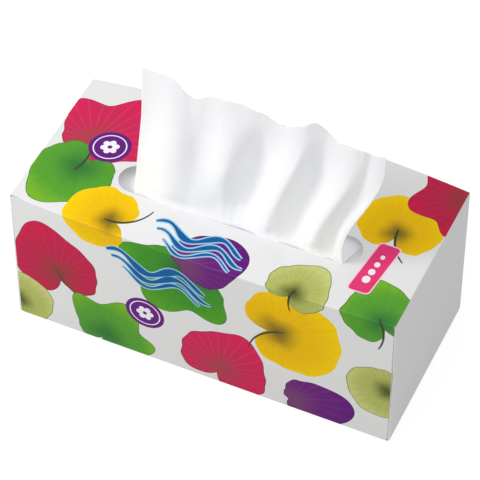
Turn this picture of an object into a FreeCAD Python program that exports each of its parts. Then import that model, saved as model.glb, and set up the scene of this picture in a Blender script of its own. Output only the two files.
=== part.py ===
import FreeCAD, Part
import math
import os

import Sketcher

# Tissue box: a folded paperboard carton, the pile of interfolded tissues in it,
# and the tissue that stands half pulled out of the slot.
# Millimetres. Origin at the middle of the bottom, X along the box, -Y to the front, Z up.

DRIVING_SIZES = (
    # the carton over all
    ("box_length", 216.0),
    ("box_width", 101.0),
    ("box_height", 91.0),
    ("board", 0.45),
    ("fold_radius", 0.6),
    # the full pile presses the long sides out along the top, and the back left corner is pushed in
    ("front_bow", 2.8),
    ("back_bow", 7.5),
    ("corner_push", 6.0),
    # the flaps that close the ends, from the outermost inwards, and the glued seam
    ("flap_side_gap", 0.9),
    ("outer_flap_gap", 1.0),
    ("inner_flap_reach", 55.0),
    ("dust_flap_reach", 38.0),
    ("dust_flap_gap", 1.2),
    ("glue_flap_reach", 15.0),
    ("glue_flap_end_gap", 6.0),
    # the slot in the top panel
    ("slot_length", 136.0),
    ("slot_width", 19.5),
    ("slot_along", 5.5),
    ("slot_forward", 13.0),
    # the pile of tissues, and the room that it leaves in the carton
    ("pile_end_room", 8.0),
    ("pile_side_room", 5.5),
    ("pile_headroom", 5.0),
    ("pile_rounding", 4.0),
    ("seat_gap", 0.3),
    ("wall_gap", 0.5),
    # the pulled tissue: its sheet, its height over the carton and the room round it in the slot
    ("tissue_thickness", 0.5),
    ("tissue_rise", 83.0),
    ("tissue_left_room", 12.5),
    ("tissue_right_room", 8.0),
    ("tissue_rim_gap", 0.6),
    ("tissue_back_room", 7.4),
    # its pleats at the free edge, how far it spreads and leans, and the part that lies on the pile
    ("tissue_top_pleat_depth", 9.5),
    ("tissue_left_flare", 5.0),
    ("tissue_right_flare", 19.0),
    ("tissue_lean", 2.2),
    ("tissue_ripple", 1.0),
    ("tissue_turn_radius", 5.5),
    ("tissue_tail_margin", 2.0),
    # powers of the tail's narrowing, and shares of the rise where the lean and the flare lie
    ("tissue_tail_gather", 1.5),
    ("tissue_tail_pace", 0.8),
    ("tissue_lean_end", 0.33),
    ("tissue_flare_start", 0.1),
    ("tissue_flare_end", 0.85),
)

# Each pleat's turning points: its place along the slot and along the free edge, as a share of
# the width there, and how far forward it stands, from -1 at the back to 1 at the front, at both.
PLEATS = (
    (0.000, 0.00, 0.3, -0.9),
    (0.180, 0.22, 1.0, 1.0),
    (0.285, 0.29, -0.2, 0.2),
    (0.400, 0.36, 0.8, 0.4),
    (0.510, 0.47, -1.0, -0.6),
    (0.640, 0.58, 1.0, 0.8),
    (0.760, 0.72, -0.9, -1.0),
    (0.865, 0.84, 1.0, 0.5),
    (0.955, 0.93, -0.7, 0.1),
    (1.000, 1.00, 0.2, 0.4),
)

COLUMNS_PER_PLEAT = 4
COLUMNS = COLUMNS_PER_PLEAT * (len(PLEATS) - 1)
TAIL_ROWS = 3
TURN_ROWS = 3
RISE_ROWS = 4

# Stations along the sleeve, as shares of its half length, where its cross-section is drawn.
STATIONS = (-1, -2 / 3, -1 / 3, 0, 1 / 3, 2 / 3, 1)
# Where the sleeve ends and the end flaps fold, from the middle.
SLEEVE_END = "(sizes.box_length / 2 - 2 * sizes.board - sizes.fold_radius)"
# How far a cutter, or a space that trims a flap, reaches past the faces that it doesn't cut.
MARGIN = 1.0
TINY = 1e-6
# A sketch turned to stand across the box: its x is the box's y, and its y is the box's z.
ACROSS = FreeCAD.Rotation(FreeCAD.Vector(0, 1, 0), FreeCAD.Vector(0, 0, 1), FreeCAD.Vector(1, 0, 0), "XYZ")

doc = FreeCAD.newDocument("tissue_box")
sizes = doc.addObject("Spreadsheet::Sheet", "sizes")


def fill_sheet():
    """Each driving size in a cell of its own, under its name."""
    for row, (name, value) in enumerate(DRIVING_SIZES, start=1):
        sizes.set(f"A{row}", name)
        sizes.set(f"B{row}", str(value))
        sizes.setAlias(f"B{row}", name)
    doc.recompute()


def size(name):
    return float(sizes.get(name))


def bind(item, **expressions):
    """Ties properties of one object to the sheet, and gives the object back."""
    for name, expression in expressions.items():
        item.setExpression(name.replace("_of_", "."), expression)
    return item


def block(label, low, high):
    """A box between two corners, each given as three expressions."""
    item = doc.addObject("Part::Box", label)
    bind(
        item,
        Length=f"({high[0]}) - ({low[0]})",
        Width=f"({high[1]}) - ({low[1]})",
        Height=f"({high[2]}) - ({low[2]})",
        Placement_of_Base_of_x=low[0],
        Placement_of_Base_of_y=low[1],
        Placement_of_Base_of_z=low[2],
    )
    return item


def joined(kind, label, parts):
    """A boolean of several objects, or of a base and a tool."""
    item = doc.addObject(f"Part::{kind}", label)
    if kind == "Cut":
        item.Base, item.Tool = parts
    else:
        item.Shapes = parts
    item.Refine = True
    doc.recompute()
    return item


def rounded(label, base, radius, wanted):
    """Rounds the edges of base that wanted(edge) picks."""
    doc.recompute()
    item = doc.addObject("Part::Fillet", label)
    item.Base = base
    numbered = enumerate(base.Shape.Edges, start=1)
    item.Edges = [(number, radius, radius) for number, edge in numbered if wanted(edge)]
    doc.recompute()
    return item


def evaluate(text):
    """The value of an expression of sheet cells, worked out by the sheet itself."""
    value = sizes.evalExpression(text)
    return float(getattr(value, "Value", value))


def cross_section(label, station, inset, radius):
    """The sleeve's section at a station: four panels that meet at folds, rounded outside.

    The front and the back lean out at the top by their bow, and the left end's back corner
    leans in. Each pair of panels is held at the point where their faces meet or would meet."""
    sketch = doc.addObject("Sketcher::SketchObject", label)
    rise = f"{1 - station ** 2}"
    half = f"(sizes.box_width / 2 - {inset})"
    high = f"(sizes.box_height - {inset})"
    front = f"({half} + sizes.front_bow * {rise})"
    back = f"({half} + sizes.back_bow * {rise} - sizes.corner_push * {(1 - station) / 2})"
    corners = ((half, -1, inset, 1), (half, 1, inset, 1), (back, 1, high, 1), (front, -1, high, 1))
    points = outline_points(corners)
    if radius is None:
        sharp_outline(sketch, points, corners)
    else:
        rounded_outline(sketch, points, corners, radius)
    sketch.Placement = FreeCAD.Placement(FreeCAD.Vector(), ACROSS)
    bind(sketch, Placement_of_Base_of_x=f"{SLEEVE_END} * {station}")
    return sketch


def outline_points(corners):
    return [
        FreeCAD.Vector(side * evaluate(y), above * evaluate(z), 0) for y, side, z, above in corners
    ]


def sharp_outline(sketch, points, corners):
    """Four sides between corners that are held at their places from the sheet."""
    for corner in range(4):
        sketch.addGeometry(Part.LineSegment(points[corner], points[(corner + 1) % 4]))
    for corner, place in enumerate(corners):
        sketch.addConstraint(Sketcher.Constraint("Coincident", (corner - 1) % 4, 2, corner, 1))
        hold_point(sketch, corner, place)


def rounded_outline(sketch, points, corners, radius):
    """Four sides joined by arcs, with the points where the sides would meet held in place."""
    folds = [fold_arc(points, corner, evaluate(radius)) for corner in range(4)]
    for corner in range(4):
        following = (corner + 1) % 4
        sketch.addGeometry(Part.LineSegment(folds[corner][2], folds[following][0]))
        sketch.addGeometry(Part.Arc(*folds[following]))
    for number in range(8):
        sketch.addConstraint(Sketcher.Constraint("Tangent", number, 2, (number + 1) % 8, 1))
    for side in range(4):
        corner = (side + 1) % 4
        meeting = sketch.addGeometry(Part.Point(points[corner]), True)
        sketch.addConstraint(Sketcher.Constraint("PointOnObject", meeting, 1, 2 * side))
        sketch.addConstraint(Sketcher.Constraint("PointOnObject", meeting, 1, (2 * side + 2) % 8))
        hold_point(sketch, meeting, corners[corner])
        hold(sketch, Sketcher.Constraint("Radius", 2 * side + 1, evaluate(radius)), radius)


def hold_point(sketch, geometry, place):
    """Holds a side's first point, or a point, at its distances from the middle and the table."""
    y, side, z, above = place
    ordered = (-1, 1, geometry, 1) if side > 0 else (geometry, 1, -1, 1)
    hold(sketch, Sketcher.Constraint("DistanceX", *ordered, evaluate(y)), y)
    ordered = (-1, 1, geometry, 1) if above > 0 else (geometry, 1, -1, 1)
    hold(sketch, Sketcher.Constraint("DistanceY", *ordered, evaluate(z)), z)


def fold_arc(points, corner, radius):
    """The three points of the arc that rounds one corner of a closed outline."""
    here = points[corner]
    before = (points[corner - 1] - here).normalize()
    after = (points[(corner + 1) % len(points)] - here).normalize()
    half_angle = before.getAngle(after) / 2
    reach = radius / math.tan(half_angle)
    inwards = (before + after).normalize()
    middle = here + inwards * (radius / math.sin(half_angle) - radius)
    return here + before * reach, middle, here + after * reach


def hold(sketch, constraint, text):
    """Adds a constraint whose value follows an expression."""
    index = sketch.addConstraint(constraint)
    sketch.setExpression(f"Constraints[{index}]", text)


def tube(label, inset, radius):
    """A solid through the sleeve's sections."""
    item = doc.addObject("Part::Loft", label)
    item.Sections = [
        cross_section(f"{label}_section_{number}", station, inset, radius)
        for number, station in enumerate(STATIONS)
    ]
    item.Solid = True
    item.Ruled = True
    doc.recompute()
    return item


def bottom_panel():
    """The bottom between its folds: the room that it takes in the sleeve, and the flat panel."""
    side = "(sizes.box_width / 2 - sizes.board - sizes.fold_radius)"
    low = (f"-{SLEEVE_END} - {MARGIN}", f"-{side}", f"-{MARGIN}")
    high = (f"{SLEEVE_END} + {MARGIN}", side, f"sizes.board + {MARGIN}")
    room = block("bottom_room", low, high)
    panel = block("bottom_panel", (f"-{SLEEVE_END}", f"-{side}", "0"), (SLEEVE_END, side, "sizes.board"))
    return room, panel


def sleeve():
    """The four long panels, folded round from one strip of board.

    The lofted sections give curved faces even where they are flat, so the bottom, which the
    box stands on, is laid in as a true plane."""
    outside = tube("sleeve_outside", "0", "sizes.fold_radius")
    inside = tube("sleeve_inside", "sizes.board", None)
    walls = joined("Cut", "sleeve_walls", (outside, inside))
    room, panel = bottom_panel()
    opened = joined("Cut", "open_sleeve", (walls, room))
    return joined("MultiFuse", "sleeve", (opened, panel))


def end_back_edge(end, level):
    """Where the back panel stands at one end of the box, at a level."""
    push = size("corner_push") if end < 0 else 0.0
    return size("box_width") / 2 - push * level / size("box_height")


def dust_flap(end, side):
    """A flap folded in from the front or the back panel, innermost at one end of the box.

    Its fold follows the panel's edge, which leans where the corner is pushed in."""
    board, radius = size("board"), size("fold_radius")
    hinge = evaluate(SLEEVE_END)
    levels = (board + size("dust_flap_gap"), size("box_height") - board - size("dust_flap_gap"))
    wires = []
    for level in levels:
        wall = size("box_width") / 2 if side < 0 else end_back_edge(end, level)

        def at(x, inwards):
            return FreeCAD.Vector(end * (hinge + x), side * (wall - inwards), level)

        bend = radius * (1 - math.sqrt(0.5))
        reach = size("dust_flap_reach")
        face = radius - board
        outline = [
            Part.Arc(at(0, 0), at(radius - bend, bend), at(radius, radius)).toShape(),
            Part.makeLine(at(radius, radius), at(radius, reach)),
        ]
        inside = [at(radius, reach), at(face, reach), at(face, board), at(0, board), at(0, 0)]
        outline += [Part.makeLine(start, end_point) for start, end_point in zip(inside, inside[1:])]
        wires.append(Part.Wire(outline))
    name = "dust_flap_" + ("left" if end < 0 else "right") + ("_front" if side < 0 else "_back")
    item = doc.addObject("Part::Feature", name)
    item.Shape = Part.makeLoft(wires, True, True)
    item.Placement = FreeCAD.Placement()
    return item


def end_room(end):
    """The space at one end of the box that its outer and inner flap are cut to fit."""
    name = "left_end_room" if end < 0 else "right_end_room"
    sketch = doc.addObject("Sketcher::SketchObject", name + "_outline")
    half = "(sizes.box_width / 2 - sizes.flap_side_gap)"
    lean = "sizes.corner_push / sizes.box_height" if end < 0 else "0"
    below, above = f"{MARGIN}", f"(sizes.box_height + {MARGIN})"
    low_back = f"({half} + {lean} * {below})"
    high_back = f"({half} - {lean} * {above})"
    low = ((half, -1, below, -1), (low_back, 1, below, -1))
    high = ((high_back, 1, above, 1), (half, -1, above, 1))
    corners = low + high
    sharp_outline(sketch, outline_points(corners), corners)
    sketch.Placement = FreeCAD.Placement(FreeCAD.Vector(), ACROSS)
    bind(sketch, Placement_of_Base_of_x=f"{end} * ({SLEEVE_END} - {MARGIN})")
    item = doc.addObject("Part::Extrusion", name)
    item.Base = sketch
    item.Dir = FreeCAD.Vector(end, 0, 0)
    item.Solid = True
    bind(item, LengthFwd=f"2 * sizes.board + sizes.fold_radius + 2 * {MARGIN}")
    doc.recompute()
    return item


def across_end(level):
    """Picks the edges that run across the ends at a level."""

    def wanted(edge):
        box = edge.BoundBox
        crosswise = box.XLength < TINY and box.ZLength < TINY
        return crosswise and abs(box.ZMin - level) < TINY

    return wanted


def flap_pair(label, layers, low, high, top, rooms):
    """A panel bent down, or up, at both ends into flaps that lie the given layers deep."""
    end = f"(sizes.box_length / 2 - {layers} * sizes.board)"
    half = "sizes.box_width"
    outside = block(label + "_outside", (f"-{end}", f"-{half}", low), (end, half, high))
    inner_end = f"({end} - sizes.board)"
    inner_low = f"{low} - {MARGIN}" if top else f"{low} + sizes.board"
    inner_high = f"{high} - sizes.board" if top else f"{high} + {MARGIN}"
    inside = block(
        label + "_inside",
        (f"-{inner_end}", f"-{half} - {MARGIN}", inner_low),
        (inner_end, f"{half} + {MARGIN}", inner_high),
    )
    fold_level = evaluate(high if top else low)
    creased = rounded(label + "_folds", outside, size("fold_radius"), across_end(fold_level))
    bent = joined("Cut", label + "_bent", (creased, inside))
    return [joined("MultiCommon", f"{label}_{room.Name}", [bent, room]) for room in rooms]


def glue_flap():
    """The seam: a flap from the back panel, glued down on the inside of the bottom panel."""
    half = f"({SLEEVE_END} - sizes.glue_flap_end_gap)"
    back = "(sizes.box_width / 2 - sizes.fold_radius)"
    return block(
        "glue_flap",
        (f"-{half}", f"{back} - sizes.glue_flap_reach", "sizes.board / 2"),
        (half, back, "2 * sizes.board"),
    )


def slot_cutter():
    """The slot in the top panel: straight sides and half-round ends."""
    sketch = doc.addObject("Sketcher::SketchObject", "slot_outline")
    radius = size("slot_width") / 2
    straight = size("slot_length") / 2 - radius
    top, right = FreeCAD.Vector(0, radius, 0), FreeCAD.Vector(straight, 0, 0)
    tip = FreeCAD.Vector(radius, 0, 0)
    sketch.addGeometry(Part.LineSegment(-right - top, right - top))
    sketch.addGeometry(Part.Arc(right - top, right + tip, right + top))
    sketch.addGeometry(Part.LineSegment(right + top, -right + top))
    sketch.addGeometry(Part.Arc(-right + top, -right - tip, -right - top))
    for corner in range(4):
        following = (corner + 1) % 4
        sketch.addConstraint(Sketcher.Constraint("Tangent", corner, 2, following, 1))
    sketch.addConstraint(Sketcher.Constraint("Horizontal", 0))
    sketch.addConstraint(Sketcher.Constraint("Symmetric", 1, 3, 3, 3, -1, 1))
    hold(sketch, Sketcher.Constraint("Radius", 1, radius), "sizes.slot_width / 2")
    between_ends = Sketcher.Constraint("DistanceX", 3, 3, 1, 3, 2 * straight)
    hold(sketch, between_ends, "sizes.slot_length - sizes.slot_width")
    bind(
        sketch,
        Placement_of_Base_of_x="sizes.slot_along",
        Placement_of_Base_of_y="-sizes.slot_forward",
        Placement_of_Base_of_z="sizes.box_height - 2 * sizes.board",
    )
    cutter = doc.addObject("Part::Extrusion", "slot_cut")
    cutter.Base = sketch
    cutter.Dir = FreeCAD.Vector(0, 0, 1)
    cutter.Solid = True
    bind(cutter, LengthFwd="3 * sizes.board")
    doc.recompute()
    return cutter


def carton():
    """One blank of board, folded and glued."""
    rooms = [end_room(end) for end in (-1, 1)]
    layers = [sleeve(), glue_flap()]
    layers += [dust_flap(end, side) for end in (-1, 1) for side in (-1, 1)]
    layers += flap_pair("inner_flap", 1, "0", "sizes.inner_flap_reach", False, rooms)
    layers += flap_pair("outer_flap", 0, "sizes.outer_flap_gap", "sizes.box_height", True, rooms)
    folded = joined("MultiFuse", "folded_blank", layers)
    item = joined("Cut", "carton_body", (folded, slot_cutter()))
    item.Label = "carton"
    return item


def pile_levels():
    """The heights of the pile's underside and top."""
    low = "(2 * sizes.board + sizes.seat_gap)"
    high = "(sizes.box_height - sizes.board - sizes.pile_headroom)"
    return low, high


def tissue_stack():
    """The pile of interfolded tissues, soft at its corners, inside the walls."""
    low, high = pile_levels()
    half_length = "(sizes.box_length / 2 - sizes.pile_end_room)"
    half_width = "(sizes.box_width / 2 - sizes.pile_side_room)"
    heap = block("pile_block", (f"-{half_length}", f"-{half_width}", low), (half_length, half_width, high))

    def soft_edge(edge):
        return edge.BoundBox.ZMin > evaluate(high) - TINY

    soft = rounded("pile_rounded", heap, size("pile_rounding"), soft_edge)
    room = tube("pile_room", "(sizes.board + sizes.wall_gap)", None)
    item = joined("MultiCommon", "pile", [soft, room])
    item.Label = "tissue_stack"
    return item


def smooth(share):
    """An even S from 0 to 1."""
    share = min(max(share, 0.0), 1.0)
    return share * share * (3 - 2 * share)


def pleat(column, height_share):
    """Where a column of the sheet stands, as a share of the width, and how far forward, -1 to 1.

    The columns keep to the pleats, so that each ridge and each valley is a column all the way up."""
    turn, step = divmod(column, COLUMNS_PER_PLEAT)
    if turn == len(PLEATS) - 1:
        turn, step = turn - 1, COLUMNS_PER_PLEAT
    between = step / COLUMNS_PER_PLEAT
    (start, before), (end, after) = (
        (slot + (edge - slot) * height_share, low + (high - low) * height_share)
        for slot, edge, low, high in PLEATS[turn:turn + 2]
    )
    return start + (end - start) * between, before + (after - before) * smooth(between)


def tail_back_edge():
    """How far back the tissue's tail reaches on the pile, clear of the pushed-in corner."""
    half_width = size("box_width") / 2
    pile_top = half_width - size("pile_side_room") - size("pile_rounding")
    wall = half_width - size("corner_push") - size("board") - size("wall_gap")
    return min(pile_top, wall) - size("tissue_tail_margin")


def tissue_rows():
    """Rows from the tail that lies on the pile, round the turn, up through the slot to the free edge.

    Each row is its middle line's y and z, the direction that its pleats stand in, the half depth
    of the pleats, its left and right ends, and its share of the way from the slot to the edge."""
    slot_left = size("slot_along") - size("slot_length") / 2 + size("tissue_left_room")
    slot_right = size("slot_along") + size("slot_length") / 2 - size("tissue_right_room")
    slot_front = -size("slot_forward") - size("slot_width") / 2
    thickness = size("tissue_thickness")
    depth_room = size("slot_width") - size("tissue_rim_gap") - size("tissue_back_room") - thickness
    half_depth = depth_room / 2
    rise_y = slot_front + size("tissue_rim_gap") + thickness / 2 + half_depth
    ripple = size("tissue_ripple")
    lie_z = evaluate(pile_levels()[1]) + size("seat_gap") + thickness / 2 + ripple
    turn = size("tissue_turn_radius")
    edge_room = size("pile_rounding") + size("tissue_tail_margin")
    tail_half = size("box_length") / 2 - size("pile_end_room") - edge_room
    tail_y = tail_back_edge()
    turn_y = rise_y + turn
    rows = []
    for step in range(TAIL_ROWS):
        along = smooth(step / TAIL_ROWS)
        spread = (1 - along) ** size("tissue_tail_gather")
        left = slot_left + (-tail_half - slot_left) * spread
        right = slot_right + (tail_half - slot_right) * spread
        y = tail_y + (turn_y - tail_y) * along ** size("tissue_tail_pace")
        rows.append((y, lie_z, 90.0, ripple, left, right, 0.0))
    for step in range(TURN_ROWS):
        angle = 90.0 * step / TURN_ROWS
        bend = 1 - math.cos(math.radians(angle))
        y = turn_y - turn * math.sin(math.radians(angle))
        z = lie_z + turn * bend
        depth = ripple + (half_depth - ripple) * bend
        rows.append((y, z, 90.0 - angle, depth, slot_left, slot_right, 0.0))
    start_z, end_z = lie_z + turn, size("box_height") + size("tissue_rise")
    top_half = size("tissue_top_pleat_depth") / 2
    flare_start, flare_end = size("tissue_flare_start"), size("tissue_flare_end")
    for step in range(RISE_ROWS + 1):
        up = step / RISE_ROWS
        z = start_z + (end_z - start_z) * up
        above = max(0.0, (z - size("box_height")) / size("tissue_rise"))
        flared = smooth((above - flare_start) / (flare_end - flare_start))
        y = rise_y - size("tissue_lean") * smooth(above / size("tissue_lean_end"))
        depth = half_depth + (top_half - half_depth) * above
        left = slot_left + size("tissue_left_flare") * above
        right = slot_right + size("tissue_right_flare") * flared
        rows.append((y, z, 0.0, depth, left, right, above))
    return rows


def tissue_point(row, column):
    """A point of the sheet's middle surface."""
    y, z, lie, depth, left, right, above = row
    share, stand = pleat(column, above)
    forward = depth * stand
    x = left + (right - left) * share
    lie = math.radians(lie)
    return FreeCAD.Vector(x, y - forward * math.cos(lie), z - forward * math.sin(lie))


def sheet_normals(grid):
    """The sheet's own direction at each point of a grid, from its neighbours."""
    last_row, last_column = len(grid) - 1, len(grid[0]) - 1
    normals = []
    for i, row in enumerate(grid):
        line = []
        for j in range(len(row)):
            along = row[min(j + 1, last_column)] - row[max(j - 1, 0)]
            up = grid[min(i + 1, last_row)][j] - grid[max(i - 1, 0)][j]
            line.append(along.cross(up).normalize())
        normals.append(line)
    return normals


def pulled_tissue():
    """The pleated sheet as a closed solid: its two sides, strip by strip, and its cut edges."""
    middle = [[tissue_point(row, column) for column in range(COLUMNS + 1)] for row in tissue_rows()]
    half = size("tissue_thickness") / 2
    loops = []
    for points, normals in zip(middle, sheet_normals(middle)):
        front = [point + normal * half for point, normal in zip(points, normals)]
        back = [point - normal * half for point, normal in zip(points, normals)]
        loops.append(front + back[::-1])
    faces = []
    for lower, upper in zip(loops, loops[1:]):
        for corner in range(len(lower)):
            low = Part.makeLine(lower[corner - 1], lower[corner])
            high = Part.makeLine(upper[corner - 1], upper[corner])
            faces.append(Part.makeRuledSurface(low, high))
    for loop in (loops[0], loops[-1]):
        for column in range(COLUMNS):
            front = Part.makeLine(loop[column], loop[column + 1])
            back = Part.makeLine(loop[-1 - column], loop[-2 - column])
            faces.append(Part.makeRuledSurface(front, back))
    shell = Part.Shell(faces)
    shell.sewShape()
    solid = Part.Solid(shell)
    if solid.Volume < 0:
        solid.reverse()
    item = doc.addObject("Part::Feature", "pulled_sheet")
    item.Shape = solid
    item.Placement = FreeCAD.Placement()
    item.Label = "pulled_tissue"
    return item


def check(parts):
    """Stops before anything is written if an object failed or a shape isn't sound."""
    for item in doc.Objects:
        if "Invalid" in item.State or "Error" in item.State:
            raise RuntimeError(f"{item.Name} failed: {item.State}")
    for item in parts:
        if item.Shape.isNull() or not item.Shape.isValid():
            raise RuntimeError(f"{item.Label} has no sound shape")
        if len(item.Shape.Solids) != 1:
            raise RuntimeError(f"{item.Label} has {len(item.Shape.Solids)} solids")


def main():
    fill_sheet()
    parts = [carton(), tissue_stack(), pulled_tissue()]
    doc.recompute()
    check(parts)
    os.makedirs("parts", exist_ok=True)
    for item in parts:
        item.Shape.exportStep(f"parts/{item.Label}.step")
        box = item.Shape.BoundBox
        print(item.Label, "volume", round(item.Shape.Volume, 1), "x", round(box.XMin, 2), round(box.XMax, 2),
              "y", round(box.YMin, 2), round(box.YMax, 2), "z", round(box.ZMin, 2), round(box.ZMax, 2))


main()
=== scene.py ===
import logging
import math
from dataclasses import dataclass, field, replace
from enum import Enum, IntEnum
from functools import partial

import bpy
import numpy as np
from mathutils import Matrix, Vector, noise
from mathutils.geometry import delaunay_2d_cdt


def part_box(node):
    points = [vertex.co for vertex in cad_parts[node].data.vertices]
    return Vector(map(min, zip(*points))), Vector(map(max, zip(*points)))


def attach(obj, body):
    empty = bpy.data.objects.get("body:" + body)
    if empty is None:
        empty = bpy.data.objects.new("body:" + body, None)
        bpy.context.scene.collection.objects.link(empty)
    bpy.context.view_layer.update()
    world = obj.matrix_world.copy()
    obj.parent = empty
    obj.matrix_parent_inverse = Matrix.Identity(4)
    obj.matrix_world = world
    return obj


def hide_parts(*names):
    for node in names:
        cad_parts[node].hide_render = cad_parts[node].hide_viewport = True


# A box of facial tissues: a folded and glued paperboard carton with a leaf print, the pile of
# interfolded tissues in it, and the tissue that stands half pulled out of the slot.
# Lengths are millimetres until a mesh or a pattern is made, which is in metres.

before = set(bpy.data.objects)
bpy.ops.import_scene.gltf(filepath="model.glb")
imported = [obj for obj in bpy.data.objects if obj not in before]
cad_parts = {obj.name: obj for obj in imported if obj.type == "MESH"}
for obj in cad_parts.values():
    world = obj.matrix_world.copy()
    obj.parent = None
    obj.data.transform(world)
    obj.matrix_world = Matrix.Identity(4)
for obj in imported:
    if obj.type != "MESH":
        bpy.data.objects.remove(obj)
log = logging.getLogger("tissue_box")
MM = 0.001
WHITE_LIGHT = (1.0, 1.0, 1.0, 1.0)
MATH, MIX, NOISE = "ShaderNodeMath", "ShaderNodeMix", "ShaderNodeTexNoise"
RANGE, MAPPING, BUMP = "ShaderNodeMapRange", "ShaderNodeMapping", "ShaderNodeBump"
Point = tuple[float, float]
NodeTree, Socket = bpy.types.NodeTree, bpy.types.NodeSocket


def linear(hex_code: str) -> tuple[float, float, float, float]:
    """Turns an sRGB colour into the linear values that a shader takes.

    Args:
        hex_code: six hex digits.

    Returns:
        Red, green, blue and full alpha.
    """
    shares = [int(hex_code[i:i + 2], 16) / 255 for i in (0, 2, 4)]
    values = [c / 12.92 if c <= 0.04045 else ((c + 0.055) / 1.055) ** 2.4 for c in shares]
    return (values[0], values[1], values[2], 1.0)


def smooth(share: float) -> float:
    """An even S from 0 to 1."""
    share = min(max(share, 0.0), 1.0)
    return share * share * (3 - 2 * share)


def blend(start: float, end: float, share: float) -> float:
    """The value at a share of the way from start to end."""
    return start + (end - start) * share


def placed(x: float, y: float, at: Point, turn: float) -> Point:
    """A motif's point, turned and moved to its place on the blank."""
    cos, sin = math.cos(turn), math.sin(turn)
    return (at[0] + x * cos - y * sin, at[1] + x * sin + y * cos)


def add_node(tree: NodeTree, kind: str, links: dict | None = None, **settings) -> bpy.types.Node:
    """Adds a node, sets it up and links what feeds it.

    Args:
        tree: the node tree.
        kind: the node's type name.
        links: input name or number to a value, to the output socket that feeds it, or to the
            node whose first live output does.
        **settings: properties of the node itself.

    Returns:
        The new node.
    """
    node = tree.nodes.new(kind)
    for name, value in settings.items():
        setattr(node, name, value)
    for key, value in (links or {}).items():
        if isinstance(value, bpy.types.Node):
            value = next(socket for socket in value.outputs if socket.enabled)
        if isinstance(value, Socket):
            tree.links.new(value, node.inputs[key])
        else:
            node.inputs[key].default_value = value
    return node


def empty_tree(owner: bpy.types.Material | bpy.types.World) -> NodeTree:
    """Gives a new material or world a node tree with nothing in it.

    Args:
        owner: the material or world.

    Returns:
        Its tree.
    """
    owner.use_nodes = True
    owner.node_tree.nodes.clear()
    return owner.node_tree


def geometry_tree(name: str, inputs: dict[str, str]) -> tuple[NodeTree, bpy.types.NodeOutputs]:
    """Starts a geometry tree that takes and gives a geometry.

    Args:
        name: the tree's name.
        inputs: its other inputs: name to kind of number.

    Returns:
        The tree, and the sockets that its inputs come out of.
    """
    tree = bpy.data.node_groups.new(name, "GeometryNodeTree")
    for label, kind in {"Geometry": "Geometry", **inputs}.items():
        tree.interface.new_socket(label, in_out="INPUT", socket_type=f"NodeSocket{kind}")
    tree.interface.new_socket("Geometry", in_out="OUTPUT", socket_type="NodeSocketGeometry")
    return tree, add_node(tree, "NodeGroupInput").outputs


def end_tree(tree: NodeTree, copies: bpy.types.Node, material: bpy.types.Material) -> None:
    """Ends a geometry tree: its instances made real and dressed in one material.

    Args:
        tree: the geometry tree.
        copies: the node that makes the instances.
        material: what they are made of.
    """
    real = add_node(tree, "GeometryNodeRealizeInstances", {0: copies})
    dressed = add_node(tree, "GeometryNodeSetMaterial", {"Geometry": real, "Material": material})
    add_node(tree, "NodeGroupOutput", {0: dressed})


def run_nodes(maker: bpy.types.Object, tree: NodeTree, values: dict, name: str) -> bpy.types.Mesh:
    """Runs a geometry tree on an object, and removes the object.

    Args:
        maker: the object whose geometry goes in.
        tree: the geometry tree.
        values: the tree's inputs by name.
        name: the result's name.

    Returns:
        The plain mesh that comes out.
    """
    modifier = maker.modifiers.new("nodes", "NODES")
    modifier.node_group = tree
    for item in tree.interface.items_tree:
        if item.in_out == "INPUT" and item.name in values:
            modifier[item.identifier] = values[item.name]
    evaluated = maker.evaluated_get(bpy.context.evaluated_depsgraph_get())
    mesh = bpy.data.meshes.new_from_object(evaluated)
    mesh.name = name
    bpy.data.objects.remove(maker)
    return mesh


def add_mesh(name: str, points: list, faces: list[tuple[int, ...]]) -> bpy.types.Mesh:
    """Makes a mesh of points in millimetres.

    Args:
        name: the mesh's name.
        points: its points.
        faces: the numbers of each face's points.

    Returns:
        The mesh, in metres.
    """
    mesh = bpy.data.meshes.new(name)
    mesh.from_pydata([Vector(point) * MM for point in points], [], faces)
    return mesh


def add_map(mesh: bpy.types.Mesh, name: str, places: list[Point]) -> None:
    """Gives a mesh a map: one place for each corner of each face."""
    mesh.uv_layers.new(name=name).data.foreach_set("uv", np.array(places, np.float32).ravel())


def add_object(name: str, data: bpy.types.ID) -> bpy.types.Object:
    """Puts a new object in the scene.

    Args:
        name: the object's name.
        data: its mesh, curve, camera or lamp.

    Returns:
        The object.
    """
    made = bpy.data.objects.new(name, data)
    bpy.context.scene.collection.objects.link(made)
    return made


class Finish:
    """A real material and the way its surface was made, as one Principled shader."""

    name: str

    def sockets(self, tree: NodeTree) -> dict:
        """What feeds the shader, by the names of its sockets."""
        raise NotImplementedError

    def material(self) -> bpy.types.Material:
        """Builds the finish.

        Returns:
            Its material.
        """
        made = bpy.data.materials.new(self.name)
        tree = empty_tree(made)
        shader = add_node(tree, "ShaderNodeBsdfPrincipled", self.sockets(tree))
        add_node(tree, "ShaderNodeOutputMaterial", {"Surface": shader})
        return made


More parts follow.
